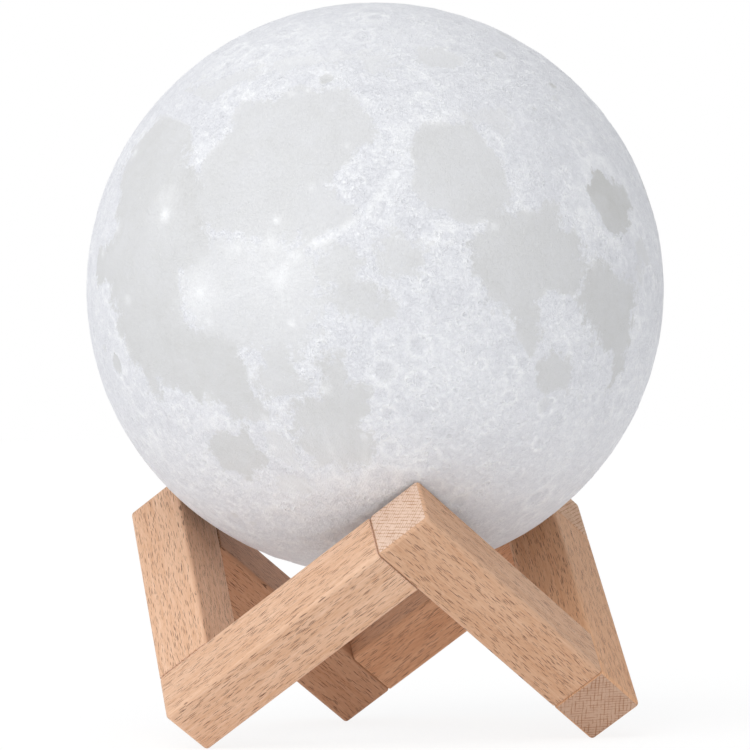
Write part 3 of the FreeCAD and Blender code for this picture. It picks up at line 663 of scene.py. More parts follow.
def crater_relief(directions, sea):
    """Height in millimetres and rim strength that the craters give each point."""
    height = numpy.zeros(len(directions))
    rims = numpy.zeros(len(directions))
    rows = [(*crater, 1.0) for crater in CRATERS] + scattered_craters()
    for latitude, longitude, radius, freshness in rows:
        middle = moon_direction(latitude, longitude)
        near = numpy.flatnonzero(directions @ middle > math.cos(math.radians(CRATER_REACH * radius)))
        radii = angle_from(directions[near], middle) / radius
        keep = 1 - SEA_COVER * sea[near]
        # A bowl with a flat floor inside the rim, and a low slope that falls away outside it.
        depth = min(0.055 * radius + 0.03, CRATER_DEPTH) * freshness
        bowl = numpy.maximum(1.35 * radii ** 2 - 1, -0.8)
        slope = 0.35 * hump(radii - 1, 0.38)
        height[near] += depth * numpy.where(radii < 1, bowl, slope) * keep
        # The rim is bright and the floor a little dark, more so on small craters.
        edge = hump(radii - 1, 0.20) - 0.45 * smooth_step(1 - radii, 0.1, 0.5)
        rims[near] += freshness * edge * keep * min(1.0, 1.4 / radius + 0.35)
    return height, numpy.clip(rims, -0.6, 1.2)


def extruded_loop(bm, loop):
    """Extrudes a closed loop of edges in place, and returns the new loop's vertices and edges."""
    made = bmesh.ops.extrude_edge_only(bm, edges=loop)["geom"]
    verts = [item for item in made if isinstance(item, bmesh.types.BMVert)]
    edges = [item for item in made if isinstance(item, bmesh.types.BMEdge)]
    return verts, [edge for edge in edges if all(vert in verts for vert in edge.verts)]


def stretched_loop(bm, loop, radius, height):
    """Extrudes a level round loop and sets the new one to this radius and height."""
    verts, edges = extruded_loop(bm, loop)
    share = radius / max(math.hypot(vert.co.x, vert.co.y) for vert in verts)
    bmesh.ops.scale(bm, vec=(share, share, 1.0), verts=verts)
    bmesh.ops.translate(bm, vec=(0, 0, height - verts[0].co.z), verts=verts)
    return edges


def finished_mesh(bm, name):
    mesh = bpy.data.meshes.new(name)
    bm.to_mesh(mesh)
    bm.free()
    return mesh


def globe_mesh(look, centre, mouth_level):
    """The globe's smooth outside, mouth, collar and inside as one closed shell.
    Returns it with the number of vertices on the outside."""
    bm = bmesh.new()
    bmesh.ops.create_cube(bm, size=2.0)
    bmesh.ops.subdivide_edges(bm, edges=bm.edges[:], cuts=look.cells - 1, use_grid_fill=True)
    radius, half_height = look.radius - look.relief_room, look.half_height - look.relief_room
    for vert in bm.verts:
        spread = Vector([math.tan(value * math.pi / 4) for value in vert.co]).normalized()
        vert.co = (spread.x * radius, spread.y * radius, centre + spread.z * half_height)
    everything = bm.verts[:] + bm.edges[:] + bm.faces[:]
    bmesh.ops.bisect_plane(bm, geom=everything, plane_co=(0, 0, mouth_level), plane_no=(0, 0, -1),
                           clear_outer=True, dist=1e-7)
    bm.verts.index_update()
    outside = len(bm.verts)
    loop = [edge for edge in bm.edges if edge.is_boundary]
    inner_radius, inner_height = look.radius - look.wall, look.half_height - look.wall
    collar_radius = look.mouth_radius + look.collar_wall
    collar_top = mouth_level + look.collar_height
    loop = stretched_loop(bm, loop, look.mouth_radius, mouth_level)
    loop = stretched_loop(bm, loop, look.mouth_radius, collar_top)
    loop = stretched_loop(bm, loop, collar_radius, collar_top)
    low_angle = math.acos(collar_radius / inner_radius)
    for number in range(INSIDE_RINGS):
        angle = -low_angle + (math.pi / 2 + low_angle) * number / INSIDE_RINGS
        ring_height = centre + inner_height * math.sin(angle)
        loop = stretched_loop(bm, loop, inner_radius * math.cos(angle), ring_height)
    cap = bmesh.ops.contextual_create(bm, geom=loop)["faces"]
    bmesh.ops.poke(bm, faces=cap)
    bmesh.ops.recalc_face_normals(bm, faces=bm.faces[:])
    return finished_mesh(bm, "moon_globe"), outside


def carve_relief(mesh, outside, look, centre, mouth_level):
    """Moves the outside in and out by the Moon's relief and keeps its tones as attributes."""
    count = len(mesh.vertices)
    places = numpy.zeros(count * 3, numpy.float32)
    mesh.vertices.foreach_get("co", places)
    places = places.reshape(-1, 3).astype(float)
    skin = places[:outside]
    directions = (skin - (0, 0, centre)) / (look.radius, look.radius, look.half_height)
    directions /= numpy.linalg.norm(directions, axis=1)[:, None]
    moonward = directions @ numpy.array(GLOBE_TURN)
    ripple = uneven(moonward, size=2.4, seed=2)
    drift = numpy.stack([uneven(moonward, size=4.0, seed=seed) for seed in (5, 6, 7)], axis=1)
    drifted = moonward + SHORE_DRIFT * drift
    drifted /= numpy.linalg.norm(drifted, axis=1)[:, None]
    inside, darkness = sea_fields(moonward, drifted)
    glow = glow_tone(moonward, ripple)
    sea = smooth_step(inside, -1.0, 1.0) * numpy.clip(2.2 * darkness, 0.0, 1.0)
    height, rims = crater_relief(moonward, sea)
    rough = uneven(moonward, size=3.4, seed=3, octaves=5)
    swell = uneven(moonward, size=24.0, seed=4, octaves=3)
    height += (1 - SEA_CALM * sea) * (ROUGHNESS * rough + SWELL * swell)
    height += MOUNTAIN_RISE * glow - SEA_DROP * sea
    highest = look.relief_room / MM - 0.005  # just inside the globe's outline
    height = numpy.clip(height, LOWEST, highest)
    height *= smooth_step(skin[:, 2] - mouth_level, *MOUTH_FADE)
    skin += directions * height[:, None] * MM
    mesh.vertices.foreach_set("co", places.astype(numpy.float32).ravel())
    for name, values in (("inside", inside), ("darkness", darkness), ("glow", glow), ("rim", rims)):
        layer = mesh.attributes.new(name, "FLOAT", "POINT")
        layer.data.foreach_set("value", numpy.pad(values, (0, count - outside)).astype(numpy.float32))
    mesh.update()


def spokes(finish, direction, crater):
    """Fine bright streaks that run out from a ray crater."""
    latitude, longitude, reach, strength, count = crater
    axes = (GLOBE_TURN @ Vector(axis) for axis in moon_axes(latitude, longitude))
    x, y, facing = (finish.vectors("DOT_PRODUCT", direction, axis) for axis in axes)
    flat = finish.vector(x, y)
    distance = finish.vectors("LENGTH", flat)
    turn = finish.vectors("MULTIPLY", finish.vectors("NORMALIZE", flat), (count, count, count))
    along = finish.vector(0.0, 0.0, finish.times(distance, 150 / reach))
    streaks = finish.noise(finish.vectors("ADD", turn, along), 1.0, 5, 0.75)
    body = finish.sum(0.30, (finish.ease(streaks, 0.42, 0.78), 1.0))
    far = math.sin(math.radians(min(1.5 * reach, 80.0)))
    fade = finish.maths("POWER", finish.ease(distance, 0.0, far, 1.0, 0.0), 1.8)
    fade = finish.times(fade, finish.maths("GREATER_THAN", facing, 0.0))
    return finish.times(finish.times(body, fade), strength)


def moon_finish(look, centre):
    """The printed shell: seas, highlands and rays, with fine craters and grit below the mesh's size."""
    finish = Finish("printed_moon_surface", 0.62, 0.0, {"Specular IOR Level": 0.35})
    place = finish.place()
    direction = finish.vectors("NORMALIZE", finish.vectors("ADD", place, (0, 0, -centre / MM)))
    inside, darkness, glow, rim = (finish.attribute(name) for name in ("inside", "darkness", "glow", "rim"))

    broad = finish.noise(place, 18, 5, 0.6)
    mottle = finish.noise(place, 3.6, 7, 0.70, 0.5)
    ragged = finish.noise(place, 1.7, 5, 0.68)
    fine = finish.noise(place, 0.9, 5, 0.72, 1.2)

    # The seas, with shores that the noises fray and with stains on them, and the land round them.
    shore = finish.sum(-8.0, (inside, 1.0), (broad, 5.0), (mottle, 6.0), (ragged, 5.0))
    fill = finish.ease(shore, -0.8, 0.8)
    stain = finish.sum(0.12, (broad, 0.80), (mottle, 0.60), (fine, 0.36))
    sea = finish.times(finish.times(fill, darkness), stain)
    cover = finish.times(fill, finish.ease(darkness, 0.08, 0.5))
    land = finish.sum(1.0, (cover, -0.82))

    # Rays, mountains and bright spots, all patchy.
    rays = glow
    for crater in RAY_CRATERS:
        rays = finish.maths("ADD", rays, spokes(finish, direction, crater))
    patchy = finish.sum(-0.50, (ragged, 1.5), (mottle, 1.5))
    rays = finish.maths("MULTIPLY", rays, patchy, clamp=True)

    # Fine craters in two sizes on the land, each a dark pit in a bright ring, and small bright specks.
    pits = finish.cells(finish.vectors("ADD", place, (3, 1, 7)), 3.1)
    pocks = finish.cells(finish.vectors("ADD", place, (11, 5, 2)), 1.5)
    pit_rim = finish.ramp(pits, [(0.0, 0.26), (0.16, 0.32), (0.25, 0.96), (0.31, 0.72), (0.44, 0.5)])
    pock_rim = finish.ramp(pocks, [(0.0, 0.26), (0.17, 0.34), (0.28, 0.94), (0.35, 0.68), (0.48, 0.5)])
    pick = finish.ease(finish.noise(place, 6.0, 2), 0.42, 0.62)
    craters = finish.sum(-0.5, (pit_rim, 0.55), (pock_rim, 0.45))
    craters = finish.times(craters, finish.times(land, pick))
    specks = finish.dots(finish.vectors("ADD", place, (5, 8, 1)), 2.3, 0.09, 0.19)
    specks = finish.times(specks, finish.ease(ragged, 0.45, 0.62))

    # A cloudy mottle under it all, then the print's tones from the hollows to the bright craters.
    cloud = finish.sum(-0.5, (broad, 0.16), (mottle, 0.34), (fine, 0.50))
    cloud = finish.times(cloud, finish.sum(0.38, (land, 0.70)))
    tone = finish.sum(0.54, (rays, 0.15), (rim, 0.26), (cloud, 2.5), (craters, 0.95), (specks, 0.34))
    print_colour = finish.ramp(tone, [(0.0, look.shade[:]), (0.5, look.plain[:]), (1.0, look.bright[:])])
    print_colour = finish.mix(sea, print_colour, look.dark[:])
    print_colour = finish.mix(finish.times(rays, 0.82), print_colour, look.bright[:])
    relief = finish.sum(0.5, (craters, 0.8), (cloud, 1.4))
    return finish.finish(print_colour, finish.bump(relief, 0.66))


def add_object(context, data):
    """Puts a new mesh, light or camera in the scene under its own name."""
    added = bpy.data.objects.new(data.name, data)
    context.scene.collection.objects.link(added)
    return added


class MOONLAMP_OT_globe(bpy.types.Operator):
    """Make the relief globe in place of the smooth shell"""

    bl_idname = "moonlamp.globe"
    bl_label = "Moon globe"

    def execute(self, context):
        look = settings(context, "globe")
        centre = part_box("globe_shell")[1].z - look.half_height
        mouth_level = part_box("glue_ring")[1].z
        mesh, outside = globe_mesh(look, centre, mouth_level)
        carve_relief(mesh, outside, look, centre, mouth_level)
        mesh.polygons.foreach_set("use_smooth", [True] * len(mesh.polygons))
        mesh.materials.append(moon_finish(look, centre))
        globe = add_object(context, mesh)
        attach(globe, "globe")
        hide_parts("globe_shell")
        return {"FINISHED"}


# The stand

# The tint of each bar's faces and of its end grain. It is partly how boards differ a little from one
# another,
# and partly painted shade and light: bars that lie in the lamp's shade or face away from the light are made
# darker and warmer, and bars that face the light paler and cooler.
BAR_TINTS_AND_PAINTED_LIGHT = [
    (0.83, 0.81, 0.80), (0.88, 0.80, 0.71), (0.87, 0.75, 0.67), (0.67, 0.57, 0.51), (0.96, 0.97, 1.00),
    (0.94, 0.97, 1.02),
]
END_TINTS_AND_PAINTED_LIGHT = [
    (0.90, 0.92, 0.97), (0.66, 0.61, 0.59), (0.85, 0.78, 0.72), (0.74, 0.68, 0.62), (0.99, 0.99, 1.00),
    (0.97, 0.98, 1.00),
]

BEVEL_STEPS = 6  # faces across a rounded edge
HOLE_STEPS = 40  # faces round a dowel hole
FLAT_INSET = 0.25 * MM  # keeps the flats flat where they meet the rounding
SHARP_TURN = math.radians(32)  # edges that turn more than this are shaded as sharp


def stand_corner(look, number):
    """Centre of the block where two bars meet: even ones are high and odd ones are low."""
    ring_radius = look.bar_length * math.sqrt(2 / 3)
    rise = look.bar_length / (2 * math.sqrt(3))
    block_rise = (look.bar_width / 2 - look.rounding) * math.sqrt(3)
    angle = math.radians(60 * number - 90)
    side = 1 if number % 2 == 0 else -1
    level = rise + block_rise + look.rounding + side * rise
    return Vector((ring_radius * math.cos(angle), ring_radius * math.sin(angle), level))


def bar_place(look, number):
    """The matrix from a bar's own axes, with X along it, to its place in the stand."""
    corner = stand_corner(look, number)
    along = (stand_corner(look, number + 1) - corner).normalized()
    towards = (stand_corner(look, number - 1) - corner).normalized()
    across = along.cross(towards)
    start = corner - along * (look.bar_width / 2)
    return Matrix.Translation(start) @ Matrix((along, towards, across)).transposed().to_4x4()


def dowel_hole(bm, face, middle, radius, depth):
    """Cuts a round blind hole into a flat face."""
    outward = face.normal.copy()
    border = face.edges[:]
    bmesh.ops.delete(bm, geom=[face], context="FACES_ONLY")
    turn = outward.to_track_quat("Z", "Y").to_matrix().to_4x4()
    hole = Matrix.Translation(middle) @ turn
    made = bmesh.ops.create_circle(bm, segments=HOLE_STEPS, radius=radius, matrix=hole)
    rim = list(dict.fromkeys(edge for vert in made["verts"] for edge in vert.link_edges))
    bmesh.ops.triangle_fill(bm, edges=border + rim, use_beauty=True, normal=outward)
    floor_verts, floor_edges = extruded_loop(bm, rim)
    bmesh.ops.translate(bm, vec=-outward * depth, verts=floor_verts)
    bmesh.ops.contextual_create(bm, geom=floor_edges)


def flat_face(bm, axis, side):
    """The largest face that looks along an axis."""
    facing = [face for face in bm.faces if face.normal[axis] * side > 0.99]
    return max(facing, key=lambda face: face.calc_area())


def bevel_edges(bm, edges, offset, segments):
    bmesh.ops.bevel(bm, geom=edges, offset=offset, offset_type="OFFSET", segments=segments, profile=0.5,
                    affect="EDGES", material=-1)


def bar_mesh(look, number):
    """One bar in its place, with eased edges, its two dowel holes and its grain."""
    bm = bmesh.new()
    half = look.bar_width / 2
    bmesh.ops.create_cube(bm, size=1.0)
    bmesh.ops.scale(bm, vec=(look.bar_length, look.bar_width, look.bar_width), verts=bm.verts[:])
    bmesh.ops.translate(bm, vec=(look.bar_length / 2, 0, 0), verts=bm.verts[:])
    eased = [edge for edge in bm.edges if min(vert.co.x for vert in edge.verts) < half]
    bevel_edges(bm, eased, look.rounding, BEVEL_STEPS)
    bevel_edges(bm, flat_face(bm, 0, 1).edges[:], look.butt_chamfer, 2)
    bm.normal_update()
    flats = [flat_face(bm, axis, side) for axis in range(3) for side in (-1, 1)]
    bmesh.ops.inset_individual(bm, faces=flats, thickness=FLAT_INSET)
    bm.normal_update()
    radius, depth = look.dowel_hole_radius, look.dowel_hole_depth
    dowel_hole(bm, flat_face(bm, 0, 1), Vector((look.bar_length, 0, 0)), radius, depth)
    dowel_hole(bm, flat_face(bm, 1, 1), Vector((half, half, 0)), radius, depth)
    bmesh.ops.recalc_face_normals(bm, faces=bm.faces[:])
    bm.normal_update()
    grain = bm.verts.layers.float_vector.new("grain")
    arris_highlight = bm.verts.layers.float.new("arris_highlight")
    shift = Vector((37 * number, 23 + 5.5 * number, 9 - 7.3 * number))
    # The grain is placed on the bar's own axes, with a shift so that no two bars look alike. The
    # arris_highlight mask is 1 on the rounded edges, where the finish paints a highlight.
    for vert in bm.verts:
        vert[grain] = vert.co / MM + shift
        from_faces = sorted((half - abs(vert.co.y), half - abs(vert.co.z), vert.co.x))
        vert[arris_highlight] = float(from_faces[1] < 0.9 * look.rounding)
    for face in bm.faces:
        face.smooth = True
        face.material_index = int(abs(face.normal.x) > 0.8)
    for edge in bm.edges:
        if edge.is_manifold and edge.calc_face_angle() > SHARP_TURN:
            edge.smooth = False
    bmesh.ops.transform(bm, matrix=bar_place(look, number), verts=bm.verts[:])
    return finished_mesh(bm, "beech_bar_" + str(number + 1))


def beech_finish(look, number):
    """Planed beech: faint growth bands, fine fibres and short dark flecks along the grain, with a painted
    highlight along the rounded edges and a per-bar tint that is partly painted shade.
    """
    finish = Finish("planed_beech_" + str(number + 1), 0.55, 0.0, {"Specular IOR Level": 0.35})
    grain = finish.attribute("grain", "Vector")
    sway = finish.noise(finish.scaled(grain, 26, 9, 9), 1, 2)
    sway = finish.vector(0.0, finish.times(sway, 1.6))
    turned = finish.vectors("ADD", finish.turned(grain, math.pi / 4), sway)
    bands = finish.noise(finish.scaled(turned, 90, 1.1, 7), 1, 3, 0.6)
    fibres = finish.noise(finish.scaled(turned, 7, 0.30, 0.45), 1, 4, 0.7)
    silk = finish.noise(finish.scaled(turned, 2.2, 0.14, 0.35), 1, 2, 0.6)
    blotch = finish.noise(finish.scaled(grain, 22, 6, 6), 1, 3)
    tone = finish.sum(-0.38, (bands, 0.42), (fibres, 0.74), (silk, 0.40), (blotch, 0.20))
    # The bar's tint is partly painted shade and light: darker and warmer for bars in shade, paler and cooler
    # for bars in the light.
    tint = BAR_TINTS_AND_PAINTED_LIGHT[number]
    deep, pale = tinted(look.deep_wood, tint), tinted(shade(look.wood, 1.05), tint)
    wood = finish.between(tone, deep, pale, 0.32, 0.70)
    long_flecks = finish.dots(finish.scaled(turned, 5.6, 0.19, 2.4), 1, 0.19, 0.28)
    short_flecks = finish.dots(finish.scaled(turned, 3.6, 0.14, 1.8), 1, 0.13, 0.22, 0.8)
    strength = finish.ease(finish.noise(finish.scaled(grain, 7, 2, 2), 1, 2), 0.3, 0.60, 0.8, 1.0)
    flecks = finish.times(finish.maths("MAXIMUM", long_flecks, short_flecks), strength)
    wood = finish.mix(flecks, wood, tinted(look.fleck, tint))
    # Painted highlight: the rounded edges are mixed toward a lighter copy of the wood, standing in for the
    # light that they catch.
    edge = finish.times(finish.attribute("arris_highlight"), 0.22)
    wood = finish.mix(edge, wood, tinted(shade(look.wood, 1.16), tint))
    surface = finish.sum(0.5, (flecks, -0.5), (fibres, 0.15), (silk, 0.12))
    return finish.finish(wood, finish.bump(surface, 0.07), finish.sum(0.52, (fibres, 0.10)))


def broken_lines(finish, grain, angle, spacing):
    """A set of thin, slightly wavy lines across the end grain, each broken here and there."""
    turned = finish.turned(grain, angle)
    wave = finish.waves(turned, spacing, "BANDS", "Y", 2.2, 3)
    gaps = finish.noise(finish.scaled(turned, 60, 0.9, 2.6), 1, 2)
    return finish.times(finish.ease(wave, 0.70, 0.97), finish.ease(gaps, 0.36, 0.60))


def end_grain_finish(look, number):
    """Sawn end grain: growth rings and rays that cross as fine broken lines, with a per-bar tint that is
    partly painted shade.
    """
    finish = Finish("beech_end_grain_" + str(number + 1), 0.7, 0.0, {"Specular IOR Level": 0.25})
    grain = finish.attribute("grain", "Vector")
    rings = broken_lines(finish, grain, math.pi / 4 + 0.06 * number, 0.95)
    rays = broken_lines(finish, grain, -math.pi / 4 + 0.05 * number, 0.80)
    pores = finish.noise(finish.scaled(grain, 8, 0.22, 0.22), 1, 3, 0.7)
    patch = finish.noise(finish.scaled(grain, 30, 4, 4), 1, 3)
    tone = finish.sum(-0.30, (rings, 0.45), (rays, 0.42), (patch, 0.40), (pores, 0.55))
    # The end grain's tint is partly painted shade and light: darker for end grain in shade, paler and cooler
    # for end grain in the light.
    tint = END_TINTS_AND_PAINTED_LIGHT[number]
    wood = finish.between(tone, tinted(look.end_wood, tint), tinted(look.end_ring, tint), 0.16, 0.70)
    surface = finish.sum(0.5, (pores, 0.5), (rings, -0.2), (rays, -0.2))
    return finish.finish(wood, finish.bump(surface, 0.08))


class MOONLAMP_OT_stand(bpy.types.Operator):
    """Make the stand's six beech bars in place of the plain ones"""

    bl_idname = "moonlamp.stand"
    bl_label = "Beech stand"

    def execute(self, context):
        look = settings(context, "stand")
        for number in range(len(BAR_TINTS_AND_PAINTED_LIGHT)):
            mesh = bar_mesh(look, number)
            mesh.materials.append(beech_finish(look, number))
            mesh.materials.append(end_grain_finish(look, number))
            bar = add_object(context, mesh)
            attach(bar, "stand_pull_half" if number < 3 else "stand_fixed_half")
            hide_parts("stand_bar_" + str(number + 1))
        return {"FINISHED"}


def dowel_finish():
    """Pressed beech dowels: pale, with compressed fibres and dry pores."""
    finish = Finish("dowel_wood", 0.6)
    place = finish.place()
    fibres = finish.noise(place, 0.5, 5, 0.65, 1.0)
    tone = finish.sum(0.0, (fibres, 0.6), (finish.noise(place, 5, 3), 0.4))
    wood = finish.between(tone, colour(190, 145, 108), colour(222, 187, 152))
    pores = finish.dots(place, 0.7, 0.12, 0.24)
    wood = finish.mix(finish.times(pores, 0.5), wood, colour(140, 96, 66))
    return finish.finish(wood, finish.bump(fibres, 0.05))


class MOONLAMP_OT_dowels(bpy.types.Operator):
    """Give the dowels their wood"""

    bl_idname = "moonlamp.dowels"
    bl_label = "Dowels"

    def execute(self, context):
        dress(dowel_finish(), "glued_dowels_fixed_half", "glued_dowels_pull_half", "plug_dowel_high",
              "plug_dowel_low")
        return {"FINISHED"}


# The light base

def touch_ring_finish():
    """Plated ring, turned on a lathe: fine rings round its axis, with light wear."""
    finish = Finish("turned_plated_ring", 0.22, 1.0)
    place = finish.place()
    rings = finish.waves(place, 0.16, "RINGS", "Z", 0.6, 2)
    clouds = finish.noise(place, 3, 4, 0.6)
    base = finish.between(clouds, colour(192, 193, 196), colour(206, 207, 210))
    gloss = finish.sum(0.18, (rings, 0.10), (clouds, 0.06))
    return finish.finish(base, finish.bump(rings, 0.006), gloss)


def glue_finish():
    """Set clear adhesive with trapped bubbles and an uneven skin."""
    finish = Finish("set_adhesive", 0.3, 0.0, {"Transmission Weight": 0.35, "IOR": 1.47})
    place = finish.place()
    bubbles = finish.dots(place, 0.8, 0.10, 0.22)
    skin = finish.noise(place, 2.2, 3)
    base = finish.between(skin, colour(226, 222, 208), colour(242, 240, 232))
    base = finish.mix(finish.times(bubbles, 0.4), base, colour(250, 250, 248))
    return finish.finish(base, finish.bump(finish.sum(0.0, (skin, 0.7), (bubbles, 0.3)), 0.06))


class MOONLAMP_OT_base_shell(bpy.types.Operator):
    """Finish the base housing, its lid, the glue ring and the touch ring"""

    bl_idname = "moonlamp.base_shell"
    bl_label = "Base housing"

    def execute(self, context):
        look = settings(context, "base")
        dress(moulded_finish("white_base_plastic", look.plastic, 0.38), "base_housing")
        dress(moulded_finish("white_lid_plastic", shade(look.plastic, 0.97), 0.45, 0.5), "base_lid")
        dress(touch_ring_finish(), "touch_ring")
        dress(glue_finish(), "glue_ring")
        dress(metal_finish("leaf_spring_metal", colour(205, 182, 132), 0.25), "touch_leaf")
        return {"FINISHED"}


def socket_finish():
    """Drawn steel socket shell with draw lines along its length."""
    finish = Finish("drawn_socket_steel", 0.3, 1.0)
    place = finish.place()
    lines = finish.noise(finish.scaled(place, 0.12, 0.12, 6), 1, 4, 0.65)
    base = finish.between(finish.noise(place, 2.5, 3), colour(168, 170, 174), colour(206, 208, 212))
    return finish.finish(base, finish.bump(lines, 0.006), finish.sum(0.2, (lines, 0.18)))


def clear_finish():
    """Polished clear plastic with a faint haze."""
    finish = Finish("clear_light_pipe", 0.08, 0.0, {"Transmission Weight": 0.9, "IOR": 1.49})
    haze = finish.noise(finish.place(), 0.9, 4, 0.6)
    base = finish.between(haze, colour(236, 238, 240), colour(250, 251, 252))
    return finish.finish(base, finish.bump(haze, 0.008), finish.sum(0.04, (haze, 0.08)))


class MOONLAMP_OT_socket(bpy.types.Operator):
    """Finish the charging socket and the charge light's light pipe"""

    bl_idname = "moonlamp.socket"
    bl_label = "Charging socket"

    def execute(self, context):
        dress(socket_finish(), "socket_shell")
        tongue = moulded_finish("black_socket_plastic", colour(26, 27, 29), 0.5, 0.2, 0.006, 0.25)
        dress(tongue, "socket_tongue")
        dress(metal_finish("gold_contacts", colour(232, 192, 110), 0.22, 0.08), "socket_contacts")
        dress(clear_finish(), "light_pipe")
        return {"FINISHED"}


def board_finish(name, mask, face_axis):
    """Solder mask over copper: tracks and pads show through, and the board's edge is bare laminate."""
    finish = Finish(name, 0.35)
    place = finish.place()
    layout = finish.scaled(place, 1, 1, 40)
    across = finish.waves(place, 0.85, "BANDS", "X", 0.0, 0)
    along = finish.waves(place, 0.85, "BANDS", "Y", 0.0, 0)
    pick = finish.ease(finish.noise(layout, 4.0, 1), 0.47, 0.53)
    tracks = finish.ease(finish.mix(pick, across, along), 0.70, 0.82)
    pads = finish.ease(finish.cells(layout, 1.5, 0.6), 0.14, 0.18, 1.0, 0.0)
    metal = finish.maths("MAXIMUM", tracks, pads)
    fine = finish.noise(place, 0.35, 3)
    base = finish.mix(metal, shade(mask, 0.85), shade(mask, 1.35))
    base = finish.mix(finish.times(pads, 0.75), base, colour(206, 196, 160))
    base = finish.mix(finish.times(fine, 0.15), base, shade(mask, 0.6))
    edge = finish.ease(finish.maths("ABSOLUTE", finish.facing(face_axis)), 0.5, 0.8, 1.0, 0.0)
    base = finish.mix(edge, base, colour(196, 186, 128))
    return finish.finish(base, finish.bump(finish.sum(0.0, (metal, 0.7), (fine, 0.3)), 0.03))


def coil_finish(low, high, flange):
    """Ferrite flanges with copper wire wound on the waist between them."""
    finish = Finish("wound_coil", 0.4)
    place = finish.place()
    height = finish.part(place, "Z")
    turns = finish.waves(place, 0.2, "BANDS", "Z", 0.3, 1)
    grit = finish.noise(place, 0.3, 3, 0.7)
    wire = finish.mix(turns, colour(122, 56, 28), colour(208, 124, 74))
    ferrite = finish.between(grit, colour(46, 46, 48), colour(74, 74, 77))
    above = finish.maths("GREATER_THAN", height, low / MM + flange)
    below = finish.maths("LESS_THAN", height, high / MM - flange)
    wound = finish.times(above, below)
    base = finish.mix(wound, ferrite, wire)
    return finish.finish(base, finish.bump(finish.mix(wound, grit, turns), 0.05))


def capacitor_finish(pitch):
    """Tan ceramic blocks in a row along X, with tinned ends."""
    finish = Finish("ceramic_capacitors", 0.35)
    place = finish.place()
    share = finish.maths("DIVIDE", finish.part(place, "X"), pitch)
    off = finish.maths("ABSOLUTE", finish.maths("SUBTRACT", share, finish.maths("ROUND", share)))
    tin_start, tin_end = 0.72, 0.78
    end = finish.ease(off, tin_start / pitch, tin_end / pitch)
    fine = finish.noise(place, 0.2, 3, 0.6)
    ceramic = finish.between(fine, colour(150, 118, 84), colour(178, 146, 108))
    tin = finish.between(fine, colour(170, 172, 174), colour(206, 208, 210))
    return finish.finish(finish.mix(end, ceramic, tin), finish.bump(fine, 0.02))


class MOONLAMP_OT_board(bpy.types.Operator):
    """Finish the circuit board, what is soldered to it and its screws"""

    bl_idname = "moonlamp.board"
    bl_label = "Circuit board"

    def execute(self, context):
        look = settings(context, "base")
        coil_low, coil_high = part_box("coil")
        coil_flange, capacitor_pitch = 0.5, 3.2  # millimetres
        dress(board_finish("green_circuit_board", look.board, "Z"), "main_board")
        dress(moulded_finish("black_chip_resin", colour(30, 31, 33), 0.55, 0.12, 0.01, 0.2), "chips")
        dress(metal_finish("tinned_pins", colour(196, 198, 200), 0.3, 0.1), "chip_pins")
        dress(coil_finish(coil_low.z, coil_high.z, coil_flange), "coil")
        dress(capacitor_finish(capacitor_pitch), "capacitors")
        dress(metal_finish("zinc_screws", colour(188, 192, 198), 0.3, 0.2), "board_screws", "plate_screws")
        dress(moulded_finish("ivory_header_nylon", colour(236, 230, 212), 0.5, 0.3, 0.01), "battery_header")
        dress(moulded_finish("white_plug_nylon", colour(242, 240, 232), 0.5, 0.3, 0.01), "battery_plug")
        indicator = moulded_finish("indicator_resin", colour(232, 236, 214), 0.2, 0.2, 0.004,
                                   sockets={"Transmission Weight": 0.3})
        dress(indicator, "charge_light")
        return {"FINISHED"}


def foil_finish(look):
    """The battery's pouch foil: soft wrinkles and satin gloss."""
    finish = Finish("battery_foil", 0.32, 0.75)
    place = finish.place()
    wrinkles = finish.noise(finish.scaled(place, 3.5, 1.6, 1.6), 1, 5, 0.6, 1.8)
    base = finish.between(wrinkles, shade(look.battery, 0.85), shade(look.battery, 1.08))
    normal = finish.bump(finish.noise(place, 0.25, 2), 0.01, finish.bump(wrinkles, 0.25))
    return finish.finish(base, normal, finish.sum(0.24, (wrinkles, 0.16)))


def foam_finish():
    """Grey closed-cell foam tape."""
    finish = Finish("foam_tape", 0.85)
    place = finish.place()
    bubbles = finish.cells(place, 0.35)
    tone = finish.sum(0.0, (bubbles, 0.6), (finish.noise(place, 2, 3), 0.4))
    base = finish.between(tone, colour(96, 98, 100), colour(142, 144, 146), 0.1)
    return finish.finish(base, finish.bump(bubbles, 0.09))


def lead_finish(name, base):
    """Extruded lead insulation: satin, with faint rings and dust."""
    finish = Finish(name, 0.38)
    place = finish.place()
    rings = finish.noise(finish.scaled(place, 0.35, 0.35, 0.35), 1, 3, 0.6)
    dust = finish.noise(place, 1.6, 4, 0.6)
    tone = finish.sum(0.0, (rings, 0.5), (dust, 0.5))
    shades = finish.between(tone, shade(base, 0.82), shade(base, 1.12))
    return finish.finish(shades, finish.bump(rings, 0.012), finish.sum(0.3, (dust, 0.2)))


class MOONLAMP_OT_battery(bpy.types.Operator):
    """Finish the battery, its protection board, its tape and the leads"""

    bl_idname = "moonlamp.battery"
    bl_label = "Battery and leads"

    def execute(self, context):
        dress(foil_finish(settings(context, "base")), "battery_cell")
        dress(foam_finish(), "battery_tape")
        dress(board_finish("protection_board", colour(28, 84, 62), "X"), "guard_board")
        dress(lead_finish("red_lead", colour(186, 28, 26)), "battery_lead_plus")
        dress(lead_finish("black_lead", colour(32, 32, 34)), "battery_lead_minus")
        dress(lead_finish("yellow_lead", colour(226, 184, 38)), "light_lead_common")
        dress(lead_finish("orange_white_lead", colour(232, 228, 216)), "light_lead_warm")
        dress(lead_finish("white_lead", colour(238, 240, 242)), "light_lead_cool")
        return {"FINISHED"}


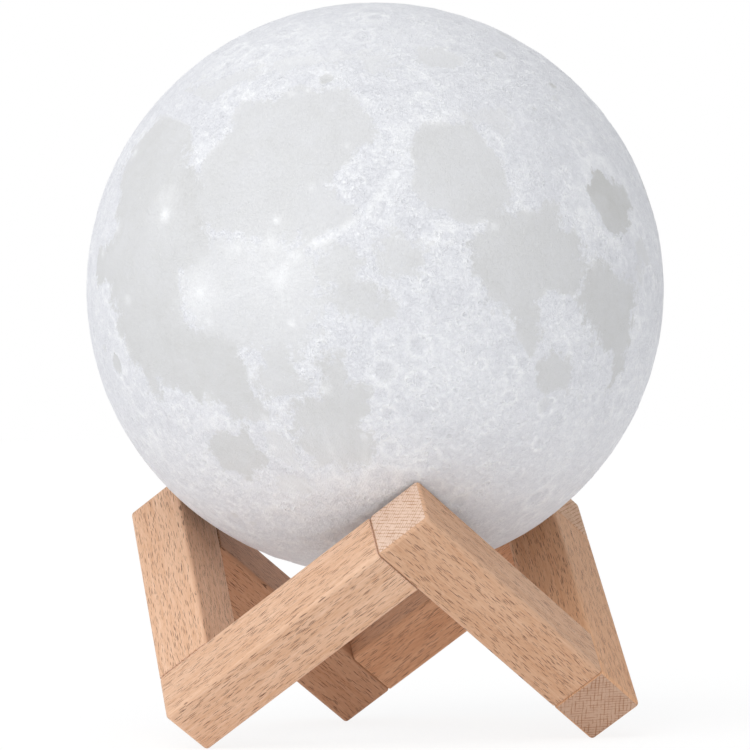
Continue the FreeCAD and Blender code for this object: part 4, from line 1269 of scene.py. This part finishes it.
def light_finish(name, lens, circle):
    """Light packages set round a circle: a white frame with a round phosphor window on top."""
    finish = Finish(name, 0.3)
    place = finish.place()
    x, y = finish.part(place, "X"), finish.part(place, "Y")
    step = math.radians(60)  # from one light package to the next
    number = finish.maths("DIVIDE", finish.maths("SUBTRACT", finish.maths("ARCTAN2", y, x), step / 2), step)
    off = finish.times(finish.maths("SUBTRACT", number, finish.maths("ROUND", number)), step)
    reach = finish.vectors("LENGTH", finish.vector(x, y))
    across = finish.times(finish.maths("SINE", off), reach)
    along = finish.maths("SUBTRACT", finish.times(finish.maths("COSINE", off), reach), circle)
    radius = finish.vectors("LENGTH", finish.vector(across, along))
    window = finish.times(finish.ease(radius, 1.1, 1.2, 1.0, 0.0), finish.ease(finish.facing("Z"), 0.5, 0.8))
    fine = finish.noise(place, 0.18, 3, 0.6)
    package = finish.between(fine, colour(228, 228, 224), colour(244, 244, 241))
    phosphor = finish.between(fine, shade(lens, 0.9), shade(lens, 1.08))
    return finish.finish(finish.mix(window, package, phosphor), finish.bump(fine, 0.01))


def light_plate_finish():
    """White solder mask on aluminium, with copper tracks just showing round the lights."""
    finish = Finish("white_light_plate", 0.42)
    place = finish.place()
    rings = finish.ease(finish.waves(place, 4.4, "RINGS", "Z", 0.3, 1), 0.55, 0.65)
    fine = finish.noise(place, 0.3, 3)
    mask = finish.between(fine, colour(226, 228, 228), colour(240, 241, 241))
    base = finish.mix(finish.times(rings, 0.35), mask, colour(206, 208, 206))
    edge = finish.ease(finish.facing("Z"), 0.5, 0.8, 1.0, 0.0)
    base = finish.mix(edge, base, colour(176, 178, 182))
    return finish.finish(base, finish.bump(finish.sum(0.0, (rings, 0.7), (fine, 0.3)), 0.03))


class MOONLAMP_OT_lights(bpy.types.Operator):
    """Finish the light plate and its warm and cool lights"""

    bl_idname = "moonlamp.lights"
    bl_label = "Lights"

    def execute(self, context):
        light_circle = 6.0  # radius in millimetres
        dress(light_plate_finish(), "light_plate")
        dress(light_finish("warm_light_packages", colour(240, 176, 72), light_circle), "warm_lights")
        dress(light_finish("cool_light_packages", colour(244, 226, 118), light_circle), "cool_lights")
        return {"FINISHED"}


# The stage

WHITE = (1.0, 1.0, 1.0, 1.0)
SKY_COLOUR = (0.965, 0.98, 1.0, 1.0)
FLOOR_COLOUR = (0.90, 0.90, 0.90, 1.0)
FLOOR_HALF_WIDTH = 12.0  # metres
FLOOR_LIFT = 0.22  # light that the floor gives the lamp besides what it reflects
KEY_ON_FLOOR = 0.19  # brightness of the open floor for each unit of the key light
KEY_DIRECTION = Vector((-0.36, -0.57, 0.73))  # from the lamp towards the light
KEY_SOFTNESS = math.radians(50)
KEY_COLOUR = (1.0, 0.992, 0.978)

# The point that the camera aims at: how far right of the lamp's axis, and how far above the floor.
AIM_RIGHT = -0.391 * MM
AIM_HEIGHT = 93.452 * MM


def sky_light(context, stage):
    """Soft light from all round, stronger from the left, that the camera sees as plain white."""
    world = bpy.data.worlds.new("studio")
    context.scene.world = world
    world.use_nodes = True
    nodes = Nodes(world.node_tree)
    light = nodes.tree.nodes["Background"]
    rightward = nodes.part(nodes.add("TexCoord", {}).outputs["Generated"], "X")
    nodes.feed(light.inputs["Color"], SKY_COLOUR)
    nodes.feed(light.inputs["Strength"], nodes.sum(stage.sky, (rightward, -stage.sky * stage.sky_lean)))
    seen = nodes.add("Background", {"Color": WHITE, "Strength": 1.0})
    mix = nodes.add("MixShader", {0: nodes.camera_rays(), 1: light.outputs[0], 2: seen.outputs[0]})
    nodes.feed(nodes.tree.nodes["World Output"].inputs["Surface"], mix.outputs[0])


def floor_finish(stage):
    """A floor that looks white and still takes the lamp's shadow."""
    finish = Finish("white_floor")
    finish.tree.nodes.remove(finish.shader)
    bounce = finish.add("BsdfDiffuse", {"Color": FLOOR_COLOUR})
    lift = finish.add("Emission", {"Color": WHITE, "Strength": FLOOR_LIFT})
    plain = finish.add("AddShader", {0: bounce.outputs[0], 1: lift.outputs[0]})
    shadow_part = finish.add("BsdfDiffuse", {"Color": (stage.floor_shadow,) * 3 + (1.0,)})
    open_level = stage.sky + KEY_ON_FLOOR * stage.key
    white_part = finish.add("Emission", {"Color": WHITE, "Strength": 1.0 - stage.floor_shadow * open_level})
    seen = finish.add("AddShader", {0: shadow_part.outputs[0], 1: white_part.outputs[0]})
    mix = finish.add("MixShader", {0: finish.camera_rays(), 1: plain.outputs[0], 2: seen.outputs[0]})
    finish.feed(finish.tree.nodes["Material Output"].inputs["Surface"], mix.outputs[0])
    return finish.material


def add_floor(context, stage):
    bm = bmesh.new()
    bmesh.ops.create_grid(bm, x_segments=4, y_segments=4, size=FLOOR_HALF_WIDTH)
    mesh = finished_mesh(bm, "floor")
    mesh.materials.append(floor_finish(stage))
    floor = add_object(context, mesh)


def add_key_light(context, stage):
    light = bpy.data.lights.new("key_light", "SUN")
    light.energy = stage.key
    light.angle = KEY_SOFTNESS
    light.color = KEY_COLOUR
    lamp = add_object(context, light)
    lamp.rotation_mode = "QUATERNION"
    lamp.rotation_quaternion = KEY_DIRECTION.to_track_quat("Z", "Y")


def add_camera(context, stage):
    """The camera that sees the lamp as the photograph does."""
    turn, rise, roll = stage.camera_turn, stage.camera_rise, stage.camera_roll
    back = Vector((math.sin(turn) * math.cos(rise), -math.cos(turn) * math.cos(rise), math.sin(rise)))
    right = Vector((math.cos(turn), math.sin(turn), 0.0))
    up = back.cross(right)
    place = right * AIM_RIGHT + Vector((0, 0, AIM_HEIGHT)) + back * stage.camera_distance
    tilted_right = right * math.cos(roll) + up * math.sin(roll)
    tilted_up = up * math.cos(roll) - right * math.sin(roll)
    data = bpy.data.cameras.new("camera")
    data.sensor_width = 36.0
    data.lens = stage.camera_lens
    data.clip_start, data.clip_end = 0.05, 50.0
    camera = add_object(context, data)
    turn_matrix = Matrix((tilted_right, tilted_up, back)).transposed().to_4x4()
    camera.matrix_world = Matrix.Translation(place) @ turn_matrix
    context.scene.camera = camera


class MOONLAMP_OT_stage(bpy.types.Operator):
    """Set the white floor, the soft light and the camera"""

    bl_idname = "moonlamp.stage"
    bl_label = "Stage"

    def execute(self, context):
        stage = settings(context, "stage")
        add_floor(context, stage)
        sky_light(context, stage)
        add_key_light(context, stage)
        add_camera(context, stage)
        context.scene.view_settings.view_transform = "Standard"
        return {"FINISHED"}


class MOONLAMP_PT_panel(bpy.types.Panel):
    """Lists the lamp's pieces, their settings and the stage"""

    bl_idname = "MOONLAMP_PT_panel"
    bl_label = "Moon lamp"
    bl_space_type = "VIEW_3D"
    bl_region_type = "UI"
    bl_category = "Moon lamp"

    def draw(self, context):
        layout = self.layout
        for operator in OPERATORS:
            layout.operator(operator.bl_idname)
        for name in GROUPS:
            group = settings(context, name)
            box = layout.box()
            box.label(text=name.capitalize())
            for key in group.bl_rna.properties.keys():
                if key not in ("rna_type", "name"):
                    box.prop(group, key)


GROUPS = {
    "globe": GlobeSettings,
    "stand": StandSettings,
    "base": BaseSettings,
    "stage": StageSettings,
}

OPERATORS = (
    MOONLAMP_OT_globe,
    MOONLAMP_OT_stand,
    MOONLAMP_OT_dowels,
    MOONLAMP_OT_base_shell,
    MOONLAMP_OT_socket,
    MOONLAMP_OT_board,
    MOONLAMP_OT_battery,
    MOONLAMP_OT_lights,
    MOONLAMP_OT_stage,
)

CLASSES = (*GROUPS.values(), *OPERATORS, MOONLAMP_PT_panel)


def register():
    for kind in CLASSES:
        bpy.utils.register_class(kind)
    for name, group in GROUPS.items():
        setattr(bpy.types.Scene, "moonlamp_" + name, bpy.props.PointerProperty(type=group))


def unregister():
    for name in GROUPS:
        delattr(bpy.types.Scene, "moonlamp_" + name)
    for kind in reversed(CLASSES):
        bpy.utils.unregister_class(kind)


def main():
    register()
    bpy.ops.moonlamp.globe()
    bpy.ops.moonlamp.stand()
    bpy.ops.moonlamp.dowels()
    bpy.ops.moonlamp.base_shell()
    bpy.ops.moonlamp.socket()
    bpy.ops.moonlamp.board()
    bpy.ops.moonlamp.battery()
    bpy.ops.moonlamp.lights()
    bpy.ops.moonlamp.stage()


if __name__ == "__main__":
    main()
